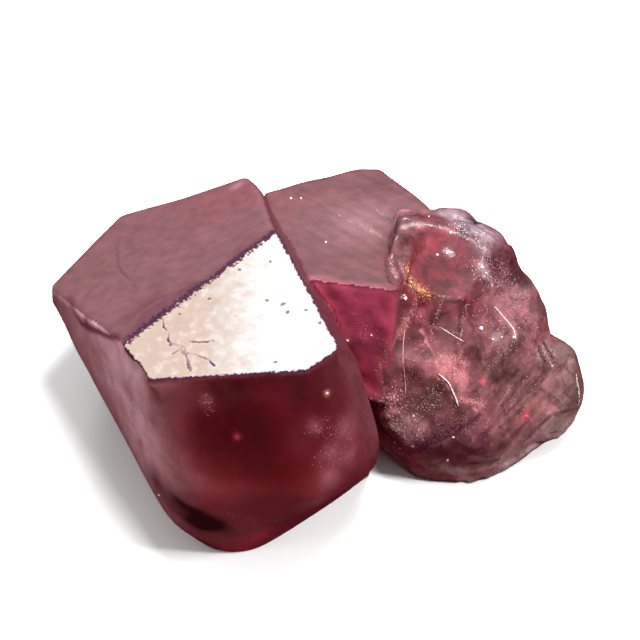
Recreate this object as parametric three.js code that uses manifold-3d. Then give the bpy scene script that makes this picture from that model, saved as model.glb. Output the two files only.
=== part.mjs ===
// A cluster of intergrown corundum crystals, grown and broken as one solid.
// Millimetres, +Z up. It lies on its flat foot at z = 0, with its longest extent along X
// and the origin under the middle of its bounding box.
//
// Bodies that run into one another:
//   block   the large, well-formed crystal on the -X side, with a flat mirror-like top
//   slab    the smaller crystal wedged behind it, with a nearly level top
//   lump    the broken, glassy mass on the +X side, shaped by shell-like fractures
//   rim     the raised band along the lump's upper back edge
//   knob    the low outgrowth at the lump's +X end
import * as THREE from 'three';
import { ConvexGeometry } from 'three/addons/geometries/ConvexGeometry.js';
import { mergeVertices } from 'three/addons/utils/BufferGeometryUtils.js';
import Module from 'manifold-3d';

const wasm = await Module();
wasm.setup();

// ---- driving dimensions ----------------------------------------------------

const COLOUR = 0x8e3350;
const ROUGHNESS = 0.15;
const METALNESS = 0.0;

const TRIM_WIDTH = 40;       // the box that trims the foot flat at z = 0
const TRIM_DEPTH = 6;
const ARC_STEPS = 2;         // strips across each rounded edge
const HAIR = 0.006;          // triangles thinner than this are folded away
const TIDY_PASSES = 12;
const SHELL_FACET = 0.14;    // facet size aimed at on the fracture hollows
const SHELL_DETAIL_MAX = 26; // finest division of a hollow's sphere

// A crystal body: where its centre is, how far its edges are rounded, and its faces.
// A face is [name, heading of its outward normal in plan (0 = +X, 90 = +Y), tilt of
// that normal from straight up, distance of the face from the centre].
const BLOCK = {
  centre: [-2.26, -1.35, 2.48],
  edge: 0.11,
  faces: [
    ['top mirror', 180, 8, 2.68],
    ['upper back slope', 144.5, 27, 2.44],
    ['front slope', 262.5, 62, 3.95],
    ['inner bevel', 21.5, 62, 2.83],
    ['left side', 207.5, 91, 2.60],
    ['front right corner', 306.5, 68, 4.58],
    ['right side', 347, 75, 3.84],
    ['left underside', 194, 128, 2.22],
    ['back left side', 148.5, 99, 4.07],
    ['back side', 88.5, 94, 4.14],
    ['back right side', 23.5, 84, 2.39],
    ['front underside', 267, 106, 4.01],
    ['right underside', 312.5, 122, 3.94],
    ['base', 0, 180, 2.48],
  ],
};

const SLAB = {
  centre: [0.68, 0.68, 2.71],
  edge: 0.09,
  faces: [
    ['top', 108, 17, 1.68],
    ['front wall', 246, 78, 2.45],
    ['back left edge', 111.5, 84, 2.96],
    ['back edge', 89, 88, 3.20],
    ['back right edge', 28.5, 86, 2.19],
    ['right end', 347.5, 92, 1.48],
    ['left end', 185, 90, 1.77],
    ['front underside', 262, 140, 2.24],
    ['back underside', 95, 125, 3.22],
  ],
};

const LUMP = {
  centre: [3.16, -0.23, 2.14],
  edge: 0.06,
  faces: [
    ['rim', 76, 15, 2.76],
    ['upper front', 244, 19, 3.02],
    ['middle front', 252, 46, 2.57],
    ['lower front', 262, 76, 2.48],
    ['foot', 268, 102, 2.87],
    ['right foot', 306, 104, 2.85],
    ['left foot', 226, 102, 2.86],
    ['right shoulder', 352, 36, 1.86],
    ['outer shoulder', 12, 64, 2.03],
    ['lower right slope', 312, 60, 1.64],
    ['lower right side', 324, 92, 2.68],
    ['right end', 8, 84, 1.99],
    ['upper left end', 172, 80, 2.06],
    ['left end', 200, 88, 2.40],
    ['back side', 95, 90, 1.77],
    ['back right side', 44, 76, 1.88],
    ['right underside', 340, 128, 2.90],
    ['left underside', 205, 132, 2.88],
    ['back underside', 80, 122, 2.89],
    ['base', 0, 180, 2.14],
  ],
};

const RIM = {
  centre: [2.93, 0.68, 4.06],
  edge: 0.05,
  faces: [
    ['top', 88, 17, 0.90],
    ['top right', 52, 22, 0.68],
    ['front slope', 252, 22, 0.98],
    ['back side', 97, 82, 0.49],
    ['back right side', 66, 76, 0.78],
    ['right corner', 36, 72, 1.09],
    ['right side', 8, 70, 1.28],
    ['right front', 325, 55, 1.05],
    ['left end', 196, 84, 1.26],
    ['front wall', 258, 88, 1.42],
    ['underside', 0, 180, 1.35],
  ],
};

const KNOB = {
  centre: [5.41, -0.45, 1.35],
  edge: 0.12,
  faces: [
    ['top', 70, 30, 0.73],
    ['front slope', 292, 52, 0.78],
    ['right end', 356, 78, 0.53],
    ['back right side', 42, 76, 0.44],
    ['front right side', 322, 92, 0.89],
    ['back side', 92, 84, 0.77],
    ['left end', 180, 90, 0.89],
    ['right underside', 345, 130, 0.91],
    ['front underside', 292, 112, 1.42],
    ['back underside', 85, 130, 1.32],
    ['underside', 0, 180, 1.17],
  ],
};

// Shell-like (conchoidal) fractures. Each is [name, middle of the hollow's rim circle,
// heading and tilt of its axis, half the width of the circle, depth of the hollow].
const BLOCK_SHELLS = [
  ['broken foot at the back', [-3.38, 2.89, 0.45], 112, 122, 1.40, 0.25],
];

const SLAB_SHELLS = [
  ['broken foot at the back', [0.68, 3.38, 1.40], 100, 118, 1.44, 0.23],
];

const LUMP_SHELLS = [
  ['bowl below the rim', [2.77, -0.23, 4.67], 307, 20, 1.04, 0.36],
  ['wedge under the bowl', [2.55, -1.62, 3.90], 285, 46, 0.81, 0.16],
  ['right shoulder shell', [4.20, -0.43, 3.68], 330, 50, 0.99, 0.16],
  ['lower front shell', [2.30, -2.59, 2.39], 264, 74, 0.97, 0.11],
  ['bottom shell', [3.56, -3.03, 1.36], 292, 88, 0.68, 0.07],
  ['back shell', [3.00, 1.62, 2.35], 95, 92, 1.85, 0.27],
  ['back right shell', [4.83, 0.72, 1.89], 46, 82, 1.40, 0.20],
  ['inner hollow', [5.30, -0.77, 2.29], 340, 44, 0.45, 0.08],
];

// ---- geometry helpers ------------------------------------------------------

const rad = THREE.MathUtils.degToRad;

function normalOf(heading, tilt) {
  const flat = Math.sin(rad(tilt));
  return new THREE.Vector3(
    Math.cos(rad(heading)) * flat,
    Math.sin(rad(heading)) * flat,
    Math.cos(rad(tilt)),
  );
}

// The point where three faces meet, or null where they are close to parallel.
function meeting(a, b, c) {
  const det = a.normal.dot(new THREE.Vector3().crossVectors(b.normal, c.normal));
  if (Math.abs(det) < 1e-5) return null;
  const point = new THREE.Vector3();
  point.addScaledVector(new THREE.Vector3().crossVectors(b.normal, c.normal), a.reach);
  point.addScaledVector(new THREE.Vector3().crossVectors(c.normal, a.normal), b.reach);
  point.addScaledVector(new THREE.Vector3().crossVectors(a.normal, b.normal), c.reach);
  return point.divideScalar(det);
}

// The corners of a body whose faces are all moved inward by `inset`.
// Each corner keeps the normals of the faces that meet there.
function corners(faces, inset) {
  const planes = faces.map(([, heading, tilt, reach]) => ({
    normal: normalOf(heading, tilt),
    reach: reach - inset,
  }));
  const found = [];
  for (let i = 0; i < planes.length; i += 1) {
    for (let j = i + 1; j < planes.length; j += 1) {
      for (let k = j + 1; k < planes.length; k += 1) {
        const point = meeting(planes[i], planes[j], planes[k]);
        if (!point) continue;
        if (planes.some((p) => p.normal.dot(point) > p.reach + 1e-6)) continue;
        found.push({ point, normals: [planes[i].normal, planes[j].normal, planes[k].normal] });
      }
    }
  }
  return found;
}

// A closed three.js geometry as a solid that can be joined and cut.
function toManifold(geometry) {
  const plain = geometry.index ? geometry.toNonIndexed() : geometry.clone();
  plain.deleteAttribute('normal');
  plain.deleteAttribute('uv');
  const merged = mergeVertices(plain, 1e-5);
  return new wasm.Manifold(new wasm.Mesh({
    numProp: 3,
    vertProperties: new Float32Array(merged.attributes.position.array),
    triVerts: new Uint32Array(merged.index.array),
  }));
}

// A convex crystal with rounded edges: at every inset corner a patch of a small
// sphere is laid between the face normals, and the hull is drawn round them all.
function crystal({ centre, edge, faces }) {
  const points = [];
  for (const { point, normals } of corners(faces, edge)) {
    for (let i = 0; i <= ARC_STEPS; i += 1) {
      for (let j = 0; j <= ARC_STEPS - i; j += 1) {
        const direction = new THREE.Vector3()
          .addScaledVector(normals[0], i)
          .addScaledVector(normals[1], j)
          .addScaledVector(normals[2], ARC_STEPS - i - j)
          .normalize();
        points.push(point.clone().addScaledVector(direction, edge));
      }
    }
  }
  const hull = new ConvexGeometry(points);
  hull.translate(...centre);
  return toManifold(hull);
}

// The sphere that leaves a shallow hollow of the given half width and depth.
function shell([, at, heading, tilt, half, depth]) {
  const radius = (half * half + depth * depth) / (2 * depth);
  const detail = Math.round(Math.min(SHELL_DETAIL_MAX, radius / SHELL_FACET));
  const ball = new THREE.IcosahedronGeometry(radius, detail);
  const centre = new THREE.Vector3(...at)
    .addScaledVector(normalOf(heading, tilt), radius - depth);
  ball.translate(centre.x, centre.y, centre.z);
  return toManifold(ball);
}

// Where faces only just cross, cutting leaves hair-thin triangles. They are folded away: an
// edge shorter than `size` shrinks to one point, and where a corner lies within `size` of
// its triangle's longest edge, that edge is turned to start from the corner.
function tidy(points, triangles, size) {
  const faces = triangles.slice();
  let around = [];

  const index = () => {
    around = points.map(() => new Set());
    faces.forEach((face, f) => face && face.forEach((v) => around[v].add(f)));
  };
  const areaNormal = (a, b, c) => new THREE.Vector3()
    .subVectors(points[b], points[a])
    .cross(new THREE.Vector3().subVectors(points[c], points[a]));
  const neighbours = (v) => {
    const found = new Set();
    around[v].forEach((f) => faces[f].forEach((w) => w !== v && found.add(w)));
    return found;
  };
  const turnsOver = (before, after) => after.dot(before) < 0.3 * after.length() * before.length();

  const shrink = (from, to) => {
    const shared = [...neighbours(from)].filter((v) => neighbours(to).has(v));
    if (shared.length !== 2) return false;
    const moved = [...around[from]].filter((f) => !faces[f].includes(to));
    for (const f of moved) {
      const face = faces[f];
      const before = areaNormal(...face);
      const after = areaNormal(...face.map((v) => (v === from ? to : v)));
      if (before.length() > size * size && turnsOver(before, after)) return false;
    }
    for (const f of around[from]) {
      if (!moved.includes(f)) {
        faces[f].forEach((v) => v !== from && around[v].delete(f));
        faces[f] = null;
      }
    }
    for (const f of moved) {
      faces[f] = faces[f].map((v) => (v === from ? to : v));
      around[to].add(f);
    }
    around[from].clear();
    return true;
  };

  const turn = (f) => {
    const face = faces[f];
    const lengths = face.map((v, i) => points[v].distanceTo(points[face[(i + 1) % 3]]));
    const longest = Math.max(...lengths);
    if (areaNormal(...face).length() / longest > size) return false;
    const i = lengths.indexOf(longest);
    const [a, b, c] = [face[i], face[(i + 1) % 3], face[(i + 2) % 3]];
    const g = [...around[a]].find((other) => other !== f && faces[other].includes(b));
    const d = faces[g].find((v) => v !== a && v !== b);
    if (neighbours(c).has(d)) return false;
    const before = areaNormal(...faces[g]);
    const halves = [[a, d, c], [d, b, c]];
    if (halves.some((half) => turnsOver(before, areaNormal(...half)))) return false;
    around[b].delete(f);
    around[a].delete(g);
    around[c].add(g);
    around[d].add(f);
    [faces[f], faces[g]] = halves;
    return true;
  };

  index();
  for (let pass = 0; pass < TIDY_PASSES; pass += 1) {
    let changes = 0;
    for (let f = 0; f < faces.length; f += 1) {
      for (let i = 0; i < 3 && faces[f]; i += 1) {
        const [a, b] = [faces[f][i], faces[f][(i + 1) % 3]];
        if (points[a].distanceTo(points[b]) < size && (shrink(a, b) || shrink(b, a))) changes += 1;
      }
      if (faces[f] && turn(f)) changes += 1;
    }
    if (!changes) break;
  }
  return faces.filter(Boolean);
}

// ---- build -----------------------------------------------------------------

const bite = (solid, shells) => shells.reduce((rest, one) => rest.subtract(shell(one)), solid);

const block = bite(crystal(BLOCK), BLOCK_SHELLS);
const slab = bite(crystal(SLAB), SLAB_SHELLS);
const lump = bite(wasm.Manifold.union([LUMP, RIM, KNOB].map(crystal)), LUMP_SHELLS);
let cluster = wasm.Manifold.union([block, slab, lump]);

const trimmer = new THREE.BoxGeometry(TRIM_WIDTH, TRIM_WIDTH, TRIM_DEPTH);
trimmer.translate(0, 0, -TRIM_DEPTH / 2);
cluster = cluster.subtract(toManifold(trimmer));

const mesh = cluster.getMesh();
const points = [];
for (let i = 0; i < mesh.vertProperties.length; i += 3) {
  points.push(new THREE.Vector3(...mesh.vertProperties.slice(i, i + 3)));
}
const triangles = [];
for (let i = 0; i < mesh.triVerts.length; i += 3) {
  triangles.push([...mesh.triVerts.slice(i, i + 3)]);
}
const indexed = new THREE.BufferGeometry().setFromPoints(points);
indexed.setIndex(tidy(points, triangles, HAIR).flat());
const geometry = mergeVertices(indexed.toNonIndexed());

// The origin goes under the middle of the bounding box. The foot stays at z = 0.
geometry.computeBoundingBox();
const middle = geometry.boundingBox.getCenter(new THREE.Vector3());
geometry.translate(-middle.x, -middle.y, 0);
geometry.computeVertexNormals();

const material = new THREE.MeshStandardMaterial({
  color: COLOUR,
  roughness: ROUGHNESS,
  metalness: METALNESS,
});
const crystalMesh = new THREE.Mesh(geometry, material);
crystalMesh.name = 'sapphire_crystal';

const group = new THREE.Group();
group.add(crystalMesh);

export default group;
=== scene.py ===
"""A rough cluster of intergrown corundum crystals on a plain pale floor."""
import math

import bpy
import numpy as np
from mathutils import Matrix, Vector


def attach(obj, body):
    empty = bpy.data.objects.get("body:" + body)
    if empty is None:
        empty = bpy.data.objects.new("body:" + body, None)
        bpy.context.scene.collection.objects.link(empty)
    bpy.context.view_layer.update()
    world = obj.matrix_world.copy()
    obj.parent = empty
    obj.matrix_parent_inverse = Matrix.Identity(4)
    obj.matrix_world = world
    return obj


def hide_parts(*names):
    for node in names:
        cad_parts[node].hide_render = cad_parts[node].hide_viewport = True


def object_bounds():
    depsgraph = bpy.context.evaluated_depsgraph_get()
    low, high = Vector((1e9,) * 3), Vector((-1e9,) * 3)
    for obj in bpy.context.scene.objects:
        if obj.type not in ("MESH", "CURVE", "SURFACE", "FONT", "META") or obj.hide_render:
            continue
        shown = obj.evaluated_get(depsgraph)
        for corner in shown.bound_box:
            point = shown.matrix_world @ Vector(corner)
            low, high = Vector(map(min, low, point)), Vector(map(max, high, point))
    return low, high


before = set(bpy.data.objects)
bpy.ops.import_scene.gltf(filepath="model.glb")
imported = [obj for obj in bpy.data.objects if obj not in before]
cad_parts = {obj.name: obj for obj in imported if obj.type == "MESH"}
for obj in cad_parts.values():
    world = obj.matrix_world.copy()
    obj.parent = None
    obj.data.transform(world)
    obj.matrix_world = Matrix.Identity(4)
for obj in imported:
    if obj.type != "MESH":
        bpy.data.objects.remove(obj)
CAD_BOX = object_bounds()

MM = 0.001
STEP = 0.063                 # spacing of the grid that the surface is drawn from, in mm
SHIFT = np.array([-0.029, 0.948, 0.0])   # from the bodies' own frame to the row frame, in mm

# ---- shape -------------------------------------------------------------------
# Each face: name, heading of its outward normal in plan, its tilt from straight up,
# its distance from the body's centre in mm.
BLOCK = ((-2.26, -1.35, 2.48), (
    ("top mirror", 180, 8, 2.68),
    ("upper back slope", 144.5, 27, 2.44),
    ("front slope", 262.5, 62, 3.95),
    ("inner bevel", 21.5, 62, 2.83),
    ("left side", 207.5, 91, 2.60),
    ("front right corner", 306.5, 68, 4.58),
    ("right side", 347, 75, 3.84),
    ("left underside", 194, 128, 2.22),
    ("back left side", 148.5, 99, 4.07),
    ("back side", 88.5, 94, 4.14),
    ("back right side", 23.5, 84, 2.39),
    ("front underside", 267, 106, 4.01),
    ("right underside", 312.5, 122, 3.94),
))
SLAB = ((0.68, 0.68, 2.71), (
    ("top", 108, 17, 1.68),
    ("front wall", 246, 78, 2.45),
    ("back left edge", 111.5, 84, 2.96),
    ("back edge", 89, 88, 3.20),
    ("back right edge", 28.5, 86, 2.19),
    ("right end", 347.5, 92, 1.48),
    ("left end", 185, 90, 1.77),
    ("front underside", 262, 140, 2.24),
    ("back underside", 95, 125, 3.22),
))
LUMP = ((3.16, -0.23, 2.14), (
    ("rim", 76, 15, 2.76),
    ("upper front", 244, 19, 3.02),
    ("middle front", 252, 46, 2.57),
    ("lower front", 262, 76, 2.48),
    ("foot", 268, 102, 2.87),
    ("right foot", 306, 104, 2.85),
    ("left foot", 226, 102, 2.86),
    ("right shoulder", 352, 36, 1.86),
    ("outer shoulder", 12, 64, 2.03),
    ("lower right slope", 312, 60, 1.64),
    ("lower right side", 324, 92, 2.68),
    ("right end", 8, 84, 1.99),
    ("upper left end", 172, 80, 2.06),
    ("left end", 200, 88, 2.40),
    ("back side", 95, 90, 1.77),
    ("back right side", 44, 76, 1.88),
    ("right underside", 340, 128, 2.90),
    ("left underside", 205, 132, 2.88),
    ("back underside", 80, 122, 2.89),
))
RIM = ((2.93, 0.68, 4.06), (
    ("top", 88, 17, 0.90),
    ("top right", 52, 22, 0.68),
    ("front slope", 252, 22, 0.98),
    ("back side", 97, 82, 0.49),
    ("back right side", 66, 76, 0.78),
    ("right corner", 36, 72, 1.09),
    ("right side", 8, 70, 1.28),
    ("right front", 325, 55, 1.05),
    ("left end", 196, 84, 1.26),
    ("front wall", 258, 88, 1.42),
    ("underside", 0, 180, 1.35),
))
KNOB = ((5.41, -0.45, 1.35), (
    ("top", 70, 30, 0.73),
    ("front slope", 292, 52, 0.78),
    ("right end", 356, 78, 0.53),
    ("back right side", 42, 76, 0.44),
    ("front right side", 322, 92, 0.89),
    ("back side", 92, 84, 0.77),
    ("left end", 180, 90, 0.89),
    ("right underside", 345, 130, 0.91),
    ("front underside", 292, 112, 1.42),
    ("back underside", 85, 130, 1.32),
    ("underside", 0, 180, 1.17),
))
# Hollows: middle of the rim circle, heading, tilt, half width, depth.
LUMP_SHELLS = (
    ((2.77, -0.23, 4.67), 307, 20, 1.04, 0.30),
    ((2.55, -1.62, 3.90), 285, 46, 0.81, 0.10),
    ((4.20, -0.43, 3.68), 330, 50, 0.99, 0.16),
    ((2.30, -2.59, 2.39), 264, 74, 0.97, 0.11),
    ((3.56, -3.03, 1.36), 292, 88, 0.68, 0.07),
    ((3.00, 1.62, 2.35), 95, 92, 1.85, 0.27),
    ((4.83, 0.72, 1.89), 46, 82, 1.40, 0.20),
    ((5.30, -0.77, 2.29), 340, 44, 0.45, 0.08),
)


def normal_of(heading, tilt):
    h, t = math.radians(heading), math.radians(tilt)
    return np.array([math.cos(h) * math.sin(t), math.sin(h) * math.sin(t), math.cos(t)])


X = np.arange(-6.25, 6.25, STEP)
Y = np.arange(-5.05, 5.05, STEP)
Z = np.arange(-0.2, 5.75, STEP)
GX = X[:, None, None].astype(np.float32)
GY = Y[None, :, None].astype(np.float32)
GZ = Z[None, None, :].astype(np.float32)


def slope(n, d):
    return (n[0] * GX + n[1] * GY + n[2] * GZ - d).astype(np.float32)


def body(part, tweaks=None):
    centre, faces = part
    out = None
    for name, heading, tilt, reach in faces:
        n = normal_of(heading, tilt)
        v = slope(n, n @ (np.array(centre) + SHIFT) + reach)
        if tweaks and name in tweaks:
            v = v + tweaks[name]
        out = v if out is None else np.maximum(out, v)
    return out


def hollow(at, heading, tilt, half, depth):
    r = (half * half + depth * depth) / (2 * depth)
    c = np.array(at) + SHIFT + normal_of(heading, tilt) * (r - depth)
    return r - np.sqrt((GX - c[0]) ** 2 + (GY - c[1]) ** 2 + (GZ - c[2]) ** 2)


def join_up(field):
    """Fills the few grid points where the surface would touch itself, and drops stray points."""
    core = (slice(1, -1),) * 3
    ends = (slice(0, -1), slice(1, None))
    for _ in range(6):
        inside = field < 0
        beside = sum(np.roll(inside, s, a)[core].astype(int) for a in range(3) for s in (-1, 1))
        field[core][inside[core] & (beside == 0)] = 0.02
        field[core][~inside[core] & (beside == 6)] = -0.02
        for first, second in ((0, 1), (1, 2), (0, 2)):
            inside = field < 0
            picks = []
            for i, j in ((0, 0), (1, 0), (0, 1), (1, 1)):
                pick = [slice(None)] * 3
                pick[first], pick[second] = ends[i], ends[j]
                picks.append(tuple(pick))
            a, b, c, d = (inside[p] for p in picks)
            field[picks[1]][a & d & ~b & ~c] = -0.01
            field[picks[0]][b & c & ~a & ~d] = -0.01


def surface_net(field, axes, step):
    """Quads through the cells where the field changes sign (negative is inside)."""
    inside = field < 0
    shape = np.array(field.shape) - 1
    total = np.zeros((*shape, 3), np.float32)
    count = np.zeros(shape, np.float32)
    for axis in range(3):
        a = np.take(field, range(field.shape[axis] - 1), axis)
        b = np.take(field, range(1, field.shape[axis]), axis)
        cross = (a < 0) != (b < 0)
        t = np.where(cross, a / np.where(cross, a - b, 1), 0)
        others = [o for o in range(3) if o != axis]
        for i in (0, 1):
            for j in (0, 1):
                pick = [slice(None)] * 3
                pick[others[0]] = slice(i, i + shape[others[0]])
                pick[others[1]] = slice(j, j + shape[others[1]])
                c, tt = cross[tuple(pick)], t[tuple(pick)]
                total[..., axis] += np.where(c, tt, 0)
                total[..., others[0]] += c * i
                total[..., others[1]] += c * j
                count += c
    cells = count > 0
    number = np.full(shape, -1, np.int64)
    number[cells] = np.arange(cells.sum())
    where = np.argwhere(cells)
    points = where + total[cells] / count[cells][:, None]
    points = np.stack([axes[i][0] + points[:, i] * step for i in range(3)], 1)
    quads = []
    for axis in range(3):
        o1, o2 = [(1, 2), (2, 0), (0, 1)][axis]
        pick = [slice(1, -1)] * 3
        pick[axis] = slice(0, -1)
        a = inside[tuple(pick)]
        pick[axis] = slice(1, None)
        b = inside[tuple(pick)]
        at = np.argwhere(a != b)
        flip = a[a != b]
        at[:, [o for o in range(3) if o != axis]] += 1
        corners = []
        for i, j in ((1, 1), (0, 1), (0, 0), (1, 0)):
            c = at.copy()
            c[:, o1] -= i
            c[:, o2] -= j
            corners.append(number[c[:, 0], c[:, 1], c[:, 2]])
        q = np.stack(corners, 1)
        q[~flip] = q[~flip][:, ::-1]
        quads.append(q)
    return points, np.concatenate(quads)


def soften(f, times):
    """A small blur, which leaves flat faces where they are and rounds the edges."""
    for _ in range(times):
        for axis in range(3):
            g = f.copy()
            mid = [slice(None)] * 3
            lo, hi = list(mid), list(mid)
            mid[axis], lo[axis], hi[axis] = slice(1, -1), slice(0, -2), slice(2, None)
            g[tuple(mid)] = 0.25 * f[tuple(lo)] + 0.5 * f[tuple(mid)] + 0.25 * f[tuple(hi)]
            f = g
    return f


def lattice_weights(coords, size, rng_offset):
    """Cubic B-spline weights of grid coordinates on a coarse lattice."""
    u = (coords - coords[0]) / size + rng_offset
    base = np.floor(u).astype(int)
    t = u - base
    w = np.zeros((len(coords), base.max() + 4))
    rows = np.arange(len(coords))
    for i, f in enumerate(((1 - t) ** 3 / 6, (3 * t ** 3 - 6 * t ** 2 + 4) / 6,
                           (-3 * t ** 3 + 3 * t ** 2 + 3 * t + 1) / 6, t ** 3 / 6)):
        w[rows, base + i] += f
    return w.astype(np.float32)


def noise(size, seed):
    """Smooth noise over the grid, about -1 to 1, with bumps about `size` mm across."""
    rng = np.random.default_rng(seed)
    sizes = size if isinstance(size, tuple) else (size,) * 3
    w = [lattice_weights(c, s, rng.random()) for c, s in zip((X, Y, Z), sizes)]
    knots = rng.normal(0, 1, [m.shape[1] for m in w]).astype(np.float32)
    v = np.tensordot(w[0], knots, (1, 0))
    v = np.tensordot(v, w[1], (1, 1))
    v = np.tensordot(v, w[2], (1, 1))
    return (v * 1.9).astype(np.float32)


def ball(at, radius):
    c = np.array(at) + SHIFT
    return np.sqrt((GX - c[0]) ** 2 + (GY - c[1]) ** 2 + (GZ - c[2]) ** 2) - radius


def bump_at(at, width):
    """1 at a point, falling off to 0 over about `width` mm."""
    c = np.array(at) + SHIFT
    return np.exp(-((GX - c[0]) ** 2 + (GY - c[1]) ** 2 + (GZ - c[2]) ** 2) / width ** 2)


def smooth(lo, hi, v):
    t = np.clip((v - lo) / (hi - lo), 0, 1)
    return t * t * (3 - 2 * t)


def blur(f, reach):
    """A wide even blur: three running means of 2 * reach + 1 cells along each axis."""
    for _ in range(3):
        for axis in range(3):
            pad = [(0, 0)] * 3
            pad[axis] = (reach + 1, reach)
            total = np.cumsum(np.pad(f, pad, mode="reflect", reflect_type="odd"), axis, dtype=np.float64)
            width = 2 * reach + 1
            ahead = np.take(total, range(width, total.shape[axis]), axis)
            behind = np.take(total, range(total.shape[axis] - width), axis)
            f = ((ahead - behind) / width).astype(np.float32)
    return f


coarse, middle, fine = noise(1.3, 1), noise(0.5, 2), noise(0.2, 3)
layers = noise((2.6, 2.6, 0.24), 5)      # growth layers, level with the foot

top_plane = BLOCK[1][0]
n_top = normal_of(top_plane[1], top_plane[2])
below_top = -slope(n_top, n_top @ (np.array(BLOCK[0]) + SHIFT) + top_plane[3])
by_top = np.exp(-(below_top / 0.22) ** 2)      # 1 along the mirror's outline

block = body(BLOCK, {
    "upper back slope": 0.018 * coarse + 0.004 * middle + (0.022 * middle + 0.020 * fine) * by_top
        - 0.12 * bump_at((-3.65, -2.2, 4.95), 0.55) - 0.03 * bump_at((-2.9, -1.7, 5.08), 0.4),
    "front slope": 0.010 * coarse + (0.03 * middle + 0.03 * fine) * by_top,
    "left side": 0.05 * coarse + 0.016 * middle + 0.006 * fine + 0.05 * fine * by_top
        + 0.10 * bump_at((-3.7, -3.9, 5.0), 0.4),
    "front right corner": 0.02 * coarse + 0.012 * middle,
    "right side": 0.03 * coarse + 0.012 * middle,
    "inner bevel": 0.02 * coarse + 0.006 * middle + (0.03 * middle + 0.035 * fine) * by_top,
    "left underside": 0.04 * coarse + 0.02 * middle - 0.16,
    "back left side": 0.03 * coarse + 0.03 * layers,
    "back side": 0.03 * coarse + 0.03 * layers,
    "back right side": 0.03 * coarse + 0.03 * layers,
    "front underside": 0.04 * coarse + 0.02 * middle,
    "right underside": 0.04 * coarse + 0.02 * middle,
})
slab = body(SLAB, {
    "top": 0.012 * coarse + 0.006 * middle,
    "front wall": 0.03 * middle + 0.02 * fine,
    "back left edge": 0.04 * coarse + 0.02 * middle + 0.03 * layers,
    "back edge": 0.05 * coarse + 0.03 * middle + 0.03 * layers,
    "back right edge": 0.05 * coarse + 0.03 * layers,
})
# Large, soft edges on the block's lower front, small ones everywhere else.
block += (soften(block, 2) - block) * smooth(0.02, 0.2, below_top)
front = smooth(-2.4 + SHIFT[1], -3.5 + SHIFT[1], GY)
block += (blur(block, 5) - 0.045 - block) * smooth(0.06, 0.7, below_top) * front
pair = np.minimum(block, soften(slab, 1))

lump = np.minimum(np.minimum(body(LUMP, {"foot": 0.05, "right foot": 0.16}), body(RIM)), body(KNOB))
lump = lump + 0.022 * coarse + 0.006 * middle
lump += (blur(lump, 3) - 0.02 - lump) * smooth(1.5, 0.5, GZ)
for count, one in enumerate(LUMP_SHELLS):
    at, heading, tilt, half, depth = one
    ripple = ball(np.array(at) + 0.8 * half * normal_of(heading + 97 * count, 90), 0)
    cut = hollow(*one) + 0.004 * np.sin(ripple * (24 + 3 * count)) + 0.008 * middle
    lump = np.maximum(lump, cut)

lump = soften(lump, 3)

# Ripples of the shell fracture by the slab, and the ones by the knob.
for at, source, count, height in (((1.75, -0.9, 4.75), (2.6, -0.6, 5.2), 34, 0.022),
                                  ((4.95, -0.84, 2.4), (4.4, -0.3, 2.5), 30, 0.018)):
    lump += height * bump_at(at, 0.42) * np.sin(ball(source, 0) * count)


def facets(at, size, seed, tilt, step):
    """Random small plates, one to a cell of a jittered lattice: height and a random number."""
    rng = np.random.default_rng(seed)
    low = np.array([X[0], Y[0], Z[0]]) - 2 * size
    count = np.ceil((np.array([X[-1], Y[-1], Z[-1]]) - low) / size).astype(int) + 3
    jitter = rng.random((*count, 3))
    lean = rng.normal(0, tilt, (*count, 3))
    lift = rng.uniform(-step, step, count)
    shade = rng.random(count)
    u = (at - low) / size
    base = np.floor(u).astype(int)
    near = []
    for i in (-1, 0, 1):
        for j in (-1, 0, 1):
            for k in (-1, 0, 1):
                c = base + (i, j, k)
                cell = (c[:, 0], c[:, 1], c[:, 2])
                away = u - c - jitter[cell]
                near.append(((away ** 2).sum(1), lift[cell] + size * (away * lean[cell]).sum(1), shade[cell]))
    nearest = np.min([d for d, _, _ in near], 0)
    weights = [np.exp(-60 * (d - nearest)) for d, _, _ in near]
    total = np.sum(weights, 0)
    return (sum(w * v for w, (_, v, _) in zip(weights, near)) / total,
            sum(w * v for w, (_, _, v) in zip(weights, near)) / total)


def hackle(at):
    """How broken the lump's surface is, at points in the row frame."""
    _, y, z = (at - SHIFT).T
    amount = np.full(len(at), 0.22)
    for centre, width, value in (((4.2, 0.1, 3.5), 0.8, 0.40), ((2.4, -1.7, 4.0), 0.5, 0.15),
                                 ((2.6, -0.4, 4.5), 0.9, -0.22), ((4.4, -1.7, 1.9), 0.9, -0.15),
                                 ((1.6, -2.4, 2.0), 0.6, 0.5)):
        amount += value * np.exp(-((at - SHIFT - centre) ** 2).sum(1) / width ** 2)
    return amount + 0.6 * smooth(0.6, 1.6, y) * smooth(4.2, 3.2, z) + 0.2 * smooth(1.2, 0.5, z)


band = np.argwhere((np.abs(lump) < 0.3) & (pair > -0.15))
where = np.stack([X[band[:, 0]], Y[band[:, 1]], Z[band[:, 2]]], 1)
amount = hackle(where)
large, _ = facets(where, 0.75, 21, 0.12, 0.03)
small, _ = facets(where, 0.32, 22, 0.12, 0.012)
sugar = np.exp(-((where - SHIFT - (1.62, -2.4, 2.0)) ** 2).sum(1) / 0.6 ** 2)
grains, _ = facets(where, 0.17, 23, 0.25, 0.03)
change = amount * (large + 0.8 * small) + sugar * grains
lump[band[:, 0], band[:, 1], band[:, 2]] += change.astype(np.float32)

stone = np.minimum(pair, lump)
stone = np.maximum(stone, slope(np.array([0, 0, -1.0]), 0.0))
join_up(stone)
points, quads = surface_net(stone, (X, Y, Z), STEP)
low, high = np.array(CAD_BOX[0]) / MM, np.array(CAD_BOX[1]) / MM
points = np.clip(points, low, high)

# ---- which face each point lies on ---------------------------------------------


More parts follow.
